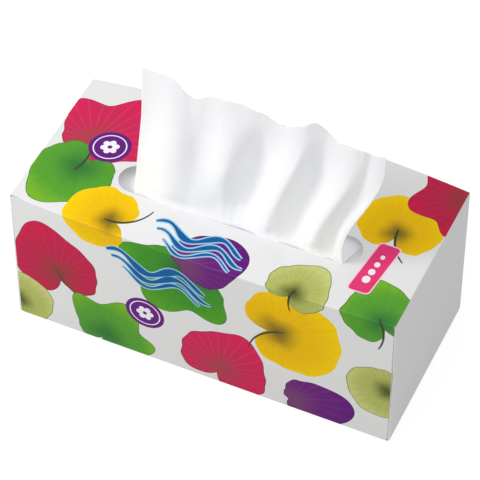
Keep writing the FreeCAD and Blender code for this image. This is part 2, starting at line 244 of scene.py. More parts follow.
@dataclass(frozen=True)
class Board(Finish):
    """Bleached paperboard, calendered smooth, printed by offset and varnished."""

    # To the eye: an even white, a touch grey beside the tissue, with clouds of closer fibre that
    # are just there, and a soft broad sheen that the grain under the varnish breaks up.
    name: str = "varnished_white_board"
    white: str = "EDEDEC"
    closer: str = "E9E9E9"
    cloud_mm: float = 1.4
    roughness: float = 0.46
    sheen: float = 0.1
    # Fibres are 0.03 mm wide, and the bundles that show as grain about ten times that.
    grain_mm: float = 0.35
    grain_strength: float = 0.12
    grain_depth: float = 0.02
    # Rubbing on a fold lets the board's own white through the ink in flecks of about a millimetre.
    worn: str = "F6F6F4"
    fleck_mm: float = 1.1
    wear: float = 0.07

    def varnish(self, tree: NodeTree) -> dict:
        """The surface that the bare and the printed board share.

        Args:
            tree: the material's tree.

        Returns:
            What feeds the shader's sockets, apart from its colour.
        """
        add = partial(add_node, tree)
        place = add("ShaderNodeTexCoord").outputs["Object"]
        grain = add(NOISE, {"Vector": place, "Scale": 1 / (self.grain_mm * MM), "Detail": 3.0})
        raised = {"Height": grain, "Strength": self.grain_strength, "Distance": self.grain_depth * MM}
        return {
            "Normal": add(BUMP, raised), "Roughness": self.roughness, "Specular IOR Level": self.sheen,
        }

    def printed(self, tree: NodeTree, colour: bpy.types.Node) -> dict:
        """The board with ink on it, which is rubbed along the folds.

        Args:
            tree: the material's tree.
            colour: the node that gives the ink's colour.

        Returns:
            What feeds the shader's sockets.
        """
        add = partial(add_node, tree)
        rubbed = add("ShaderNodeAttribute", attribute_name="fold_wear").outputs["Fac"]
        place = add("ShaderNodeTexCoord").outputs["Object"]
        flecks = add(NOISE, {"Vector": place, "Scale": 1 / (self.fleck_mm * MM), "Detail": 4.0})
        bare = add(MATH, {0: rubbed, 1: flecks}, operation="MULTIPLY")
        bare = add(MATH, {0: bare, 1: self.wear}, operation="MULTIPLY")
        tint = add(MIX, {0: bare, 6: colour, 7: linear(self.worn)}, data_type="RGBA")
        return {"Base Color": tint, **self.varnish(tree)}

    def sockets(self, tree: NodeTree) -> dict:
        """The bare board, with faint clouds.

        Args:
            tree: the material's tree.

        Returns:
            What feeds the shader's sockets.
        """
        add = partial(add_node, tree)
        place = add("ShaderNodeTexCoord").outputs["Object"]
        cloud = add(NOISE, {"Vector": place, "Scale": 1 / (self.cloud_mm * MM), "Detail": 2.0})
        tint = add(MIX, {0: cloud, 6: linear(self.white), 7: linear(self.closer)}, data_type="RGBA")
        return {"Base Color": tint, **self.varnish(tree)}


@dataclass(frozen=True)
class LeafInk(Finish):
    """The offset inks of one leaf, screened from one tone into the next."""

    # To the eye: a full colour at the rim that deepens softly towards the stem, under fine veins
    # that fan out from there and fade. Shares are of the leaf's length: a vein every 7 mm of rim.
    name: str
    rim: str
    middle: str
    base: str
    vein: str
    base_reach: float = 0.5
    vein_strength: float = 0.35
    middle_reach: float = 0.9
    base_start: float = -0.02
    uneven: float = 0.3
    clouds: float = 3.0
    veins: float = 27.0
    waver: float = 2.2
    vein_edge: float = 0.72
    stem_offset: float = 0.02

    def toned(self, add: partial, reach: Socket, cloud: bpy.types.Node) -> bpy.types.Node:
        """The tones from the stem to the rim.

        Args:
            add: adds a node to the material's tree.
            reach: the distance from the stem.
            cloud: the unevenness that the tones follow.

        Returns:
            The node that gives the colour.
        """
        centred = add(MATH, {0: reach, 1: self.uneven / 2}, operation="SUBTRACT")
        place = add(MATH, {0: cloud, 1: self.uneven, 2: centred}, operation="MULTIPLY_ADD")
        soft = {"interpolation_type": "SMOOTHSTEP"}
        outer = add(
            RANGE, {"Value": place, "From Min": self.base_reach, "From Max": self.middle_reach}, **soft
        )
        inner = add(
            RANGE, {"Value": place, "From Min": self.base_start, "From Max": self.base_reach}, **soft
        )
        tint = add(MIX, {0: inner, 6: linear(self.base), 7: linear(self.middle)}, data_type="RGBA")
        return add(MIX, {0: outer, 6: tint, 7: linear(self.rim)}, data_type="RGBA")

    def sockets(self, tree: NodeTree) -> dict:
        """The leaf's tones and veins, which follow its own frame in the print map.

        Args:
            tree: the material's tree.

        Returns:
            What feeds the shader's sockets.
        """
        add = partial(add_node, tree)
        place = add("ShaderNodeUVMap", uv_map="print").outputs["UV"]
        across, along, _ = add("ShaderNodeSeparateXYZ", {0: place}).outputs
        reach = add("ShaderNodeVectorMath", {0: place}, operation="LENGTH").outputs["Value"]
        cloud = add(NOISE, {"Vector": place, "Scale": self.clouds, "Detail": 2.0})
        tint = self.toned(add, reach, cloud)
        ahead = add(MATH, {0: along, 1: self.stem_offset}, operation="ADD")
        turn = add(MATH, {0: across, 1: ahead}, operation="ARCTAN2")
        waver = add(MATH, {0: cloud, 1: self.waver}, operation="MULTIPLY")
        wave = add(MATH, {0: turn, 1: self.veins, 2: waver}, operation="MULTIPLY_ADD")
        wave = add(MATH, {0: wave}, operation="SINE")
        line = add(
            RANGE, {"Value": wave, "From Min": self.vein_edge, "From Max": 1.0},
            interpolation_type="SMOOTHSTEP",
        )
        fade = {"From Min": 0.12, "From Max": 0.95, "To Min": 1.0, "To Max": 0.25}
        share = add(MATH, {0: line, 1: add(RANGE, {"Value": reach, **fade})}, operation="MULTIPLY")
        share = add(MATH, {0: share, 1: self.vein_strength}, operation="MULTIPLY")
        tint = add(MIX, {0: share, 6: tint, 7: linear(self.vein)}, data_type="RGBA")
        return Board().printed(tree, tint)


@dataclass(frozen=True)
class FlatInk(Finish):
    """One solid offset ink under the varnish."""

    # To the eye: a flat colour whose film is a shade denser here and there, in drifts of 9 mm.
    name: str
    colour: str
    denser: str
    drift_mm: float = 9.0

    def sockets(self, tree: NodeTree) -> dict:
        """The ink's film on the board.

        Args:
            tree: the material's tree.

        Returns:
            What feeds the shader's sockets.
        """
        add = partial(add_node, tree)
        place = add("ShaderNodeTexCoord").outputs["Object"]
        film = add(NOISE, {"Vector": place, "Scale": 1 / (self.drift_mm * MM), "Detail": 3.0})
        colours = {6: linear(self.colour), 7: linear(self.denser)}
        return Board().printed(tree, add(MIX, {0: film, **colours}, data_type="RGBA"))


@dataclass(frozen=True)
class RawBoard(Finish):
    """The board's uncoated side, or its edge as the die cut it."""

    # To the eye: matt and a little warmer than the coated white, with fibres that run with the
    # board. They are drawn some ten times as coarse as the real 0.03 mm, so that they show.
    name: str
    light: str
    dark: str
    fibre_mm: float = 0.5
    fibre_stretch: float = 0.35
    fibre_strength: float = 0.3
    fibre_depth: float = 0.05
    roughness: float = 0.85

    def sockets(self, tree: NodeTree) -> dict:
        """The fibres, in colour and in relief.

        Args:
            tree: the material's tree.

        Returns:
            What feeds the shader's sockets.
        """
        add = partial(add_node, tree)
        place = add("ShaderNodeTexCoord").outputs["Object"]
        drawn = add(MAPPING, {"Vector": place, "Scale": (self.fibre_stretch, 1.0, 1.0)})
        size = {"Scale": 1 / (self.fibre_mm * MM), "Detail": 5.0, "Roughness": 0.65}
        fibre = add(NOISE, {"Vector": drawn, **size})
        raised = {"Height": fibre, "Strength": self.fibre_strength, "Distance": self.fibre_depth * MM}
        tint = add(MIX, {0: fibre, 6: linear(self.light), 7: linear(self.dark)}, data_type="RGBA")
        return {"Base Color": tint, "Normal": add(BUMP, raised), "Roughness": self.roughness}


@dataclass(frozen=True)
class TissuePaper(Finish):
    """Two plies of bleached pulp, creped off the drying drum and pressed together."""

    # To the eye: the whitest thing on the box, matt and soft, with a faint crepe across the sheet.
    # Light goes into the plies and comes out beside, which lifts the shade in the folds. A faint bluish
    # emission is painted glow in place of the pulp's optical brightener: the sheet shines brighter than
    # its lamps light it.
    name: str = "creped_tissue_paper"
    white: str = "FCFCFE"
    shade: str = "F4F5F9"
    # painted glow: a faint bluish emission that brightens the whole sheet under any light
    glow: str = "F6F8FF"
    painted_glow_strength: float = 0.09
    fibre_mm: float = 2.6
    # Crepe lines stand about 0.2 mm apart on real tissue, and are drawn coarser to show at all.
    crepe_mm: float = 0.9
    crepe_stretch: float = 0.12
    crepe_strength: float = 0.1
    crepe_depth: float = 0.05
    scatter: float = 0.4
    scatter_mm: float = 1.0
    roughness: float = 0.95
    gloss: float = 0.1
    down: float = 0.25
    down_roughness: float = 0.6

    def sockets(self, tree: NodeTree) -> dict:
        """The pulp's clouds, and the crepe, which runs across the sheet's own map.

        Args:
            tree: the material's tree.

        Returns:
            What feeds the shader's sockets.
        """
        add = partial(add_node, tree)
        place = add("ShaderNodeTexCoord").outputs["Object"]
        cloud = add(NOISE, {"Vector": place, "Scale": 1 / (self.fibre_mm * MM), "Detail": 4.0})
        tint = add(MIX, {0: cloud, 6: linear(self.white), 7: linear(self.shade)}, data_type="RGBA")
        flat = add("ShaderNodeUVMap", uv_map="sheet")
        drawn = add(MAPPING, {"Vector": flat, "Scale": (self.crepe_stretch, 1.0, 1.0)})
        crepe = add(NOISE, {"Vector": drawn, "Scale": 1 / (self.crepe_mm * MM), "Detail": 3.0})
        raised = {"Height": crepe, "Strength": self.crepe_strength, "Distance": self.crepe_depth * MM}
        return {
            "Base Color": tint, "Normal": add(BUMP, raised), "Roughness": self.roughness,
            # the painted glow, which makes the sheet shine as though it were lit more than it is
            "Emission Color": linear(self.glow), "Emission Strength": self.painted_glow_strength,
            "Specular IOR Level": self.gloss,
            "Sheen Weight": self.down, "Sheen Roughness": self.down_roughness,
            "Subsurface Weight": self.scatter, "Subsurface Radius": (1.0, 1.0, 1.0),
            "Subsurface Scale": self.scatter_mm * MM,
        }


class Ink(Enum):
    """The finishes of the carton's faces, by what is printed or cut there."""

    WHITE = Board()
    # Leaves: rim, middle, base and vein. Each base turns brown or dark, as two inks overprinted do.
    PINK = LeafInk("rose_leaf_ink", "E01C5A", "D02656", "A8404A", "E4608F", 0.5, 0.26)
    CRIMSON = LeafInk("crimson_leaf_ink", "D2174A", "C02048", "983838", "DC4470", 0.5, 0.26)
    PURPLE = LeafInk("purple_leaf_ink", "64117A", "6A1C7A", "76406A", "8F4FA3", 0.5, 0.3)
    YELLOW = LeafInk("yellow_leaf_ink", "FFD400", "F5C300", "7A6418", "C79C08", 0.42, 0.22)
    GREEN = LeafInk("green_leaf_ink", "55A31A", "3F9226", "1E6630", "2A762E", 0.5, 0.32)
    LIME = LeafInk("lime_leaf_ink", "78B82A", "57A12F", "2F7836", "41893A", 0.5, 0.32)
    OLIVE = LeafInk("olive_leaf_ink", "CDD382", "B7BE66", "4C4F18", "959D4E", 0.45)
    # Stems and the thin dark line round most leaves.
    STEM = FlatInk("dark_stem_ink", "4D5A33", "2F3B24")
    RIM = FlatInk("dark_rim_ink", "8A8A4A", "7C7D42")
    PURPLE_RIM = FlatInk("purple_rim_ink", "4E1560", "431252")
    CRIMSON_RIM = FlatInk("crimson_rim_ink", "8E2A45", "842440")
    GREEN_RIM = FlatInk("green_rim_ink", "3B7A2E", "31692B")
    # Plain spots, the tab and the wave ornament.
    DISC = FlatInk("disc_purple_ink", "6A1D84", "621A7B")
    TAB = FlatInk("tab_pink_ink", "EE3D7B", "E93876")
    PALE = FlatInk("pale_pink_ink", "FBD9E6", "F8CFDF")
    BLUE = FlatInk("swash_blue_ink", "0A62A0", "085A96")
    SKY = FlatInk("swash_pale_blue_ink", "A6D2EA", "9CCBE4")
    PAPER = FlatInk("reversed_out_white", "FBF7FD", "F6F1FA")
    # The board where nothing is printed on it.
    CUT = RawBoard("cut_board_edge", "F2F1EE", "E6E4DF", fibre_mm=0.3)
    INSIDE = RawBoard("uncoated_board_inside", "E4E2DE", "D6D3CD")


INKS = list(Ink)
RIMS = {
    Ink.PINK: Ink.CRIMSON_RIM, Ink.CRIMSON: Ink.CRIMSON_RIM, Ink.PURPLE: Ink.PURPLE_RIM,
    Ink.GREEN: Ink.GREEN_RIM, Ink.LIME: Ink.GREEN_RIM, Ink.OLIVE: Ink.RIM,
}


class Panel(IntEnum):
    """The blank's panels across it. Each one starts at the edge or fold of its own number."""

    BOTTOM = 0
    FRONT = 1
    TOP = 2
    BACK = 3
    GLUE = 4


# Their end flaps close the ends, over the short dust flaps of the front and the back.
WITH_LONG_FLAPS = (Panel.BOTTOM, Panel.TOP)


@dataclass(frozen=True)
class CartonForm:
    """The carton's sizes, and the way from its flat blank to the folded box.

    On the blank, along runs with the box's length from its middle, and around runs across the
    panels from the fold between the bottom and the front: bottom, front, top, back, glue flap."""

    length: float
    width: float = 101.0
    height: float = 91.0
    board: float = 0.45
    fold_radius: float = 0.6
    # how far the long sides bow out along the top, and the back left corner is pushed in
    front_bow: float = 2.8
    back_bow: float = 7.5
    corner_push: float = 6.0
    # between two layers of board, and round the flaps
    ply_gap: float = 0.02
    flap_side_gap: float = 0.3
    outer_flap_gap: float = 1.0
    inner_flap_reach: float = 55.0
    dust_flap_reach: float = 38.0
    dust_flap_gap: float = 1.65
    glue_flap_reach: float = 15.0
    glue_flap_end_gap: float = 6.0
    glue_flap_taper: float = 0.001
    # the height over which the outer flap settles, past the inner flap's edge
    settling: float = 18.0
    # the slot, with its middle along the box and in front of the box's middle line
    slot_length: float = 136.0
    slot_width: float = 19.5
    slot_along: float = 5.5
    slot_forward: float = 13.0

    @property
    def hinge(self) -> float:
        """Where the long panels end and the end flaps begin, from the middle."""
        return self.length / 2 - 2 * (self.board + self.ply_gap) - self.fold_radius

    @property
    def bend(self) -> float:
        """The flat length that a square fold takes up."""
        return self.fold_radius * math.pi / 2

    @property
    def folds(self) -> tuple[float, ...]:
        """Where the blank's panels meet.

        Returns:
            The around places of its first edge, its four folds and its last edge.
        """
        top = self.height
        back = top + self.width
        seam = back + self.height
        return (-self.width, 0.0, top, back, seam, seam + self.glue_flap_reach)

    def back_edge(self, level: float) -> float:
        """Where the back panel stands at the left end, at a level."""
        return self.width / 2 - self.corner_push * level / self.height

    def side_gap(self, panel: int) -> float:
        """The gap beside a panel's end flap."""
        return self.flap_side_gap if panel in WITH_LONG_FLAPS else self.dust_flap_gap

    def section(self, along: float) -> list[Vector]:
        """The box's section at one place along it: its long sides bow out, its back left is pushed in.

        Args:
            along: the place.

        Returns:
            The y and z of the blank's two edges and four folds.
        """
        station = max(-1.0, min(1.0, along / self.hinge))
        rise = 1 - station ** 2
        half = self.width / 2
        front = half + self.front_bow * rise
        back = half + self.back_bow * rise - self.corner_push * (1 - station) / 2
        seam = self.board + self.ply_gap
        corners = (
            (half - self.board, 0), (-half, 0), (-front, self.height),
            (back, self.height), (half, seam), (half - self.glue_flap_reach, seam),
        )
        return [Vector(corner) for corner in corners]

    def on_fold(self, corners: list[Vector], number: int, share: float, inset: float) -> Vector:
        """A point on the arc of a long fold.

        Args:
            corners: the section.
            number: the fold's number.
            share: from -1, where the arc leaves one panel, to 1, where it meets the next.
            inset: how far under the printed face the point lies.

        Returns:
            Its y and z.
        """
        here = corners[number]
        before = (corners[number - 1] - here).normalized()
        after = (corners[number + 1] - here).normalized()
        half_angle = before.angle(after) / 2
        inwards = (before + after).normalized()
        onwards = (after - before).normalized()
        centre = here + inwards * (self.fold_radius / math.sin(half_angle))
        turn = (math.pi / 2 - half_angle) * share
        return centre + (onwards * math.sin(turn) - inwards * math.cos(turn)) * (self.fold_radius - inset)

    def panel_at(self, around: float) -> int:
        """The number of the panel that an around place lies on."""
        folds = self.folds
        return max(i for i in Panel if around >= folds[i] or i == Panel.BOTTOM)

    def around_box(self, along: float, around: float, inset: float) -> Vector:
        """A point of the long panels.

        Args:
            along: the place along the blank.
            around: the place across its panels.
            inset: how far under the printed face it lies.

        Returns:
            Its y and z.
        """
        radius = self.fold_radius
        panel = self.panel_at(around)
        corners = self.section(along)
        start, end = self.folds[panel], self.folds[panel + 1]
        low, high = Vector((corners[0].x, inset)), Vector((corners[5].x, corners[5].y + inset))
        if panel > Panel.BOTTOM:
            if around - start < radius:
                return self.on_fold(corners, panel, (around - start) / radius, inset)
            low = self.on_fold(corners, panel, 1.0, inset)
            start += radius
        if panel < Panel.GLUE:
            if end - around < radius:
                return self.on_fold(corners, panel + 1, (around - end) / radius, inset)
            high = self.on_fold(corners, panel + 1, -1.0, inset)
            end -= radius
        return low.lerp(high, (around - start) / (end - start))

    def lead(self, panel: int) -> float:
        """How far past the hinge a panel's flap begins to turn: its layer in the closed end."""
        return {Panel.BOTTOM: 1, Panel.TOP: 2}.get(panel, 0) * (self.board + self.ply_gap)

    def flap_length(self, panel: int) -> float:
        """The flat length of a panel's end flap, from the hinge."""
        depths = {Panel.BOTTOM: self.inner_flap_reach, Panel.TOP: self.height - self.outer_flap_gap}
        return self.lead(panel) + self.bend + depths.get(panel, self.dust_flap_reach) - self.fold_radius

    def point(self, along: float, around: float, inset: float = 0.0) -> Vector:
        """Takes a point of the blank to its place on the folded box.

        Args:
            along: the place along the blank.
            around: the place across its panels.
            inset: how far under the printed face it lies.

        Returns:
            The point, in millimetres.
        """
        beyond = abs(along) - self.hinge
        if beyond <= 0:
            section = self.around_box(along, around, inset)
            return Vector((along, section.x, section.y))
        end = 1.0 if along > 0 else -1.0
        section = self.around_box(end * self.hinge, around, 0.0)
        panel = self.panel_at(around)
        lead, radius = self.lead(panel), self.fold_radius
        turn = min(max((beyond - lead) / self.bend, 0.0), 1.0) * math.pi / 2
        bent = radius * (1 - math.cos(turn)) + inset * math.cos(turn)
        depth = bent + max(beyond - lead - self.bend, 0.0)
        # Above the inner flap's edge the outer flap has one layer less under it, and settles.
        above = self.height - self.inner_flap_reach - depth
        settled = 1 - smooth(above / self.settling) / 2 if panel == Panel.TOP else 1.0
        out = self.hinge + min(beyond, lead) * settled + (radius - inset) * math.sin(turn)
        if panel not in WITH_LONG_FLAPS:
            inwards = 1.0 if panel == Panel.FRONT else -1.0
            return Vector((end * out, section.x + inwards * depth, section.y))
        level, top = (depth, 0.0) if panel == Panel.BOTTOM else (self.height - depth, section.y)
        half = self.width / 2
        wall, wall_here = (self.back_edge(top), self.back_edge(level)) if end < 0 else (half, half)
        share = (section.x + half) / (wall + half)
        return Vector((end * out, -half + share * (wall_here + half), level))

    def top_place(self, x: float, y: float) -> Point:
        """The blank's place of a point of the top panel.

        Args:
            x: along the box.
            y: across it.

        Returns:
            The place: along and around.
        """
        start, end = self.folds[Panel.TOP] + self.fold_radius, self.folds[Panel.BACK] - self.fold_radius
        near = self.around_box(x, start, 0.0).x
        far = self.around_box(x, end, 0.0).x
        return (x, blend(start, end, (y - near) / (far - near)))

    def slot_outline(self, grow: float = 0.0, steps: int = 20, side_steps: int = 14) -> list[Point]:
        """The slot's outline on the blank: straight sides and half-round ends.

        Args:
            grow: how far outside the cut it runs.
            steps: the parts of each half-round end.
            side_steps: the parts of each straight side.

        Returns:
            The outline's points, in order.
        """
        radius = self.slot_width / 2
        reach = self.slot_length / 2 - radius
        spots = []
        for end in (1, -1):
            for step in range(steps + 1):
                turn = math.radians(-90 + 180 * step / steps)
                ahead, aside = reach + (radius + grow) * math.cos(turn), (radius + grow) * math.sin(turn)
                spots.append((self.slot_along + end * ahead, -self.slot_forward + end * aside))
            for step in range(1, side_steps):
                ahead = blend(reach, -reach, step / side_steps)
                spots.append((self.slot_along + end * ahead, -self.slot_forward + end * (radius + grow)))
        return [self.top_place(x, y) for x, y in spots]

    def outline(self) -> list[Point]:
        """The die-cut outline of the whole blank.

        Returns:
            Its points, in order.
        """
        folds, hinge = self.folds, self.hinge
        right: list[Point] = [(hinge, folds[0])]
        for panel in range(Panel.GLUE):
            low, high = folds[panel] + self.side_gap(panel), folds[panel + 1] - self.side_gap(panel)
            reach = hinge + self.flap_length(panel)
            right += [(hinge, low), (reach, low), (reach, high), (hinge, high)]
        glue = hinge - self.glue_flap_end_gap
        seam = folds[Panel.GLUE]
        right += [(hinge, seam), (glue, seam), (glue + self.glue_flap_taper, folds[-1])]
        return right + [(-x, around) for x, around in reversed(right)]


class LeafForm(Enum):
    """Leaf outlines: degrees from the tip, and the reach there from the stem's end, in lengths."""

    HEART = (
        (0, 1.00), (9, 0.89), (22, 0.80), (42, 0.70), (66, 0.62), (92, 0.58), (120, 0.54), (145, 0.46),
        (165, 0.28), (180, 0.12),
    )
    LOBED = (
        (0, 1.00), (12, 0.88), (24, 0.70), (33, 0.64), (44, 0.74), (56, 0.84), (68, 0.74), (84, 0.52),
        (112, 0.42), (140, 0.36), (165, 0.22), (180, 0.10),
    )
    OVAL = (
        (0, 1.00), (6, 0.93), (14, 0.82), (26, 0.66), (42, 0.50), (62, 0.36), (90, 0.24), (125, 0.15),
        (160, 0.08), (180, 0.05),
    )
    ROUND = (
        (0, 0.86), (14, 0.88), (30, 0.86), (50, 0.80), (74, 0.70), (98, 0.62), (124, 0.54), (148, 0.42),
        (166, 0.25), (180, 0.10),
    )

    def reach(self, turn: float) -> float:
        """The reach at a turn from the tip, in radians, softened over a few degrees."""
        nearby = np.abs(math.degrees(turn) + np.array((-9.0, -6.0, -3.0, 0.0, 3.0, 6.0, 9.0)))
        return float(np.average(np.interp(nearby, *zip(*self.value)), weights=(1, 2, 3, 4, 3, 2, 1)))


HEART, LOBED, OVAL, ROUND = LeafForm


@dataclass
class Shape:
    """One printed shape: its outline on the blank, its ink, and the frame that its map is drawn in."""

    outline: list[Point]
    ink: Ink
    origin: Point = (0.0, 0.0)
    heading: float = 0.0
    scale: float = 1.0

    def local(self, spot: Point) -> Point:
        """A blank place in the shape's own frame.

        Args:
            spot: along and around.

        Returns:
            Across the heading and along it from the origin, in shares of the scale.
        """
        x, y = spot[0] - self.origin[0], spot[1] - self.origin[1]
        cos, sin = math.cos(self.heading), math.sin(self.heading)
        return ((x * sin - y * cos) / self.scale, (x * cos + y * sin) / self.scale)


Triangle = tuple[tuple[int, ...], Shape]


@dataclass(frozen=True)
class Leaf:
    """A printed leaf with a waved margin and, on some, a curved stem."""

    form: LeafForm
    ink: Ink
    along: float
    around: float
    heading: float
    length: float
    wide: float = 1.0
    phase: float = 0.0
    stem: float = 0.0
    bend: float = 0.5
    rim_width = 0.45
    # the margin: the height and the number of its waves and teeth, and where they calm down, in
    # radians from the stem and from the tip
    wave, tooth = 0.02, 0.008
    waves, teeth = 5, 13
    calm_base, calm_tip = 0.9, 0.2
    # the stem: how far up the leaf it starts, how it curls, half its width at each end, and the
    # share of it that is left where it comes out of the leaf, and how fast it widens from there
    stem_start = 0.12
    stem_curl = 1.6
    stem_thick, stem_thin = 0.85, 0.38
    stem_neck, stem_widening = 0.45, 5

    def edge(self, inset: float, steps: int = 120) -> list[Point]:
        """The leaf's outline, with a gently toothed and waved margin.

        Args:
            inset: how far inside the printed edge it runs.
            steps: the number of points.

        Returns:
            The outline's points on the blank.
        """
        spots = []
        for step in range(steps):
            turn = -math.pi + 2 * math.pi * (step + 0.5) / steps
            calm = min(1.0, (math.pi - abs(turn)) / self.calm_base) * min(1.0, abs(turn) / self.calm_tip)
            wave = self.wave * math.sin(self.waves * turn + self.phase)
            wave += self.tooth * math.sin(self.teeth * turn + 2.1 * self.phase)
            reach = self.length * (self.form.reach(turn) + wave * calm) - inset
            across, ahead = reach * math.sin(turn) * self.wide, reach * math.cos(turn)
            spots.append(placed(ahead, -across, (self.along, self.around), math.radians(self.heading)))
        return spots

    def stalk(self, steps: int = 14) -> list[Point]:
        """The stem's outline: a curved stroke that thins away from the leaf.

        Args:
            steps: the parts of its length.

        Returns:
            The outline's points on the blank.
        """
        start = self.stem_start * self.length
        x, y = placed(start, 0.0, (self.along, self.around), math.radians(self.heading))
        left, right = [], []
        for step in range(steps + 1):
            share = step / steps
            way = math.radians(self.heading + 180) + self.bend * share * self.stem_curl
            half = blend(self.stem_thick, self.stem_thin, share)
            half *= blend(self.stem_neck, 1.0, smooth(share * self.stem_widening))
            left.append(placed(0.0, half, (x, y), way))
            right.append(placed(0.0, -half, (x, y), way))
            x, y = placed((self.stem + start) / steps, 0.0, (x, y), way)
        return left + right[::-1]

    def shapes(self) -> list[Shape]:
        """The leaf's printed shapes.

        Returns:
            Its rim, its face and its stem, lowest first.
        """
        map_frame = ((self.along, self.around), math.radians(self.heading), self.length)
        rim = RIMS.get(self.ink)
        made = [Shape(self.edge(0.0), rim, *map_frame)] if rim else []
        made.append(Shape(self.edge(self.rim_width if rim else 0.0), self.ink, *map_frame))
        return made + ([Shape(self.stalk(), Ink.STEM, *map_frame)] if self.stem > 0 else [])


def ring(centre: Point, radius: float, steps: int = 48, squash: float = 1.0) -> list[Point]:
    """A circle's points, or an ellipse's."""
    turns = (2 * math.pi * step / steps for step in range(steps))
    return [(centre[0] + radius * math.cos(t), centre[1] + squash * radius * math.sin(t)) for t in turns]


@dataclass(frozen=True)
class Disc:
    """A plain round spot with a thin ring and a simple blossom reversed out of it."""

    along: float
    around: float
    radius: float = 11.2
    turn: float = 0.0
    petals = 6
    # in shares of the radius: the blossom's middle and its petals, and how blunt they are
    petal_base, petal_reach, petal_blunt = 0.30, 0.15, 0.7

    def blossom(self, steps: int = 96) -> list[Point]:
        """The blossom's outline.

        Args:
            steps: the number of points.

        Returns:
            Its points on the blank.
        """
        spots = []
        for step in range(steps):
            angle = 2 * math.pi * step / steps
            petal = abs(math.cos(self.petals * angle / 2)) ** self.petal_blunt
            reach = self.radius * (self.petal_base + self.petal_reach * petal)
            spots.append(placed(reach, 0.0, (self.along, self.around), angle + self.turn))
        return spots

    def shapes(self) -> list[Shape]:
        """The spot's printed shapes.

        Returns:
            Spot, ring, blossom and its middle, lowest first.
        """
        centre = (self.along, self.around)
        rings = ((1.0, 72, Ink.DISC), (0.80, 64, Ink.PAPER), (0.74, 64, Ink.DISC), (0.11, 24, Ink.DISC))
        made = [Shape(ring(centre, self.radius * share, steps), ink) for share, steps, ink in rings]
        return made[:3] + [Shape(self.blossom(), Ink.PAPER)] + made[3:]


@dataclass(frozen=True)
class Tab:
    """A leaning rounded tab with a pale edge and a row of dots that grow smaller."""

    along: float
    around: float
    half_along = 6.2
    half_around = 17.5
    lean = 0.12
    corner = 2.4
    edge_width = 0.7
    edge_sharpening = 0.6
    dots = 4
    dot_radius, dot_step, dot_squash, dot_spread = 2.1, 0.3, 1.15, 1.25

    def edge(self, inset: float, steps: int = 6) -> list[Point]:
        """The tab's rounded outline.

        Args:
            inset: how far inside the tab it runs.
            steps: the parts of each corner.

        Returns:
            Its points on the blank.
        """
        spots = []
        corner = self.corner - inset * self.edge_sharpening
        for quarter, (sx, sy) in enumerate(((1, 1), (-1, 1), (-1, -1), (1, -1))):
            cx = sx * (self.half_along - inset - corner)
            cy = sy * (self.half_around - inset - corner)
            for step in range(steps + 1):
                x, y = placed(corner, 0.0, (cx, cy), math.pi / 2 * (quarter + step / steps))
                spots.append((self.along + x + self.lean * y, self.around + y))
        return spots

    def shapes(self) -> list[Shape]:
        """The tab's printed shapes.

        Returns:
            Its edge, its face and its dots, lowest first.
        """
        made = [Shape(self.edge(0.0), Ink.PALE), Shape(self.edge(self.edge_width), Ink.TAB)]
        for dot in range(self.dots):
            y = self.half_around * self.dot_spread * ((dot + 0.5) / self.dots - 0.5)
            centre = (self.along + self.lean * y, self.around + y)
            radius = self.dot_radius - self.dot_step * dot
            made.append(Shape(ring(centre, radius, 28, self.dot_squash), Ink.PAPER))
        return made


@dataclass(frozen=True)
class Swash:
    """A flowing ribbon of waves with a pale outline, as a plain ornament."""

    along: float
    around: float
    length: float = 60.0
    tilt: float = -4.0
    swing: float = 5.0
    thick: float = 3.3
    waves = 1.75
    phase = 0.4
    margin = 0.8
    # how thin a wave is at its ends, how soon it thickens from there, and how it swells on the way
    fine_end, blunt, swell = 0.2, 0.7, 0.3
    # each wave's lift over the middle line, its thickness, and where it starts and ends
    bands = ((4.4, 1.25, 0.00, 0.94), (-1.4, 1.0, 0.05, 1.0), (-6.3, 0.6, 0.16, 0.90))

    def band(self, lift: float, thick: float, start: float, end: float, margin: float) -> list[Point]:
        """One wave's outline, thick in its middle and fine at its ends.

        Args:
            lift: how far over the ribbon's middle line it runs.
            thick: its thickness, as a share of the ribbon's.
            start: where it starts, as a share of the length.
            end: where it ends.
            margin: how far outside the wave the outline runs.

        Returns:
            The outline's points on the blank.
        """
        steps = 64
        upper, lower = [], []
        for step in range(steps + 1):
            run = step / steps
            share = blend(start, end, run)
            angle = 2 * math.pi * self.waves * share + self.phase
            at = (self.length * (share - 0.5), lift + self.swing * math.sin(angle))
            slope = math.atan(self.swing * math.cos(angle) * 2 * math.pi * self.waves / self.length)
            full = blend(self.fine_end, 1.0, math.sin(math.pi * run) ** self.blunt)
            half = thick * self.thick * full / 2 * (1 + self.swell * math.sin(2 * angle)) + margin
            for side, line in ((half, upper), (-half, lower)):
                x, y = placed(0.0, side, at, slope)
                line.append(placed(x, y, (self.along, self.around), math.radians(self.tilt)))
        return upper + lower[::-1]

    def shapes(self) -> list[Shape]:
        """The ornament's printed shapes, lowest first."""
        pale = [Shape(self.band(*band, self.margin), Ink.SKY) for band in self.bands]
        return pale + [Shape(self.band(*band, 0.0), Ink.BLUE) for band in self.bands]


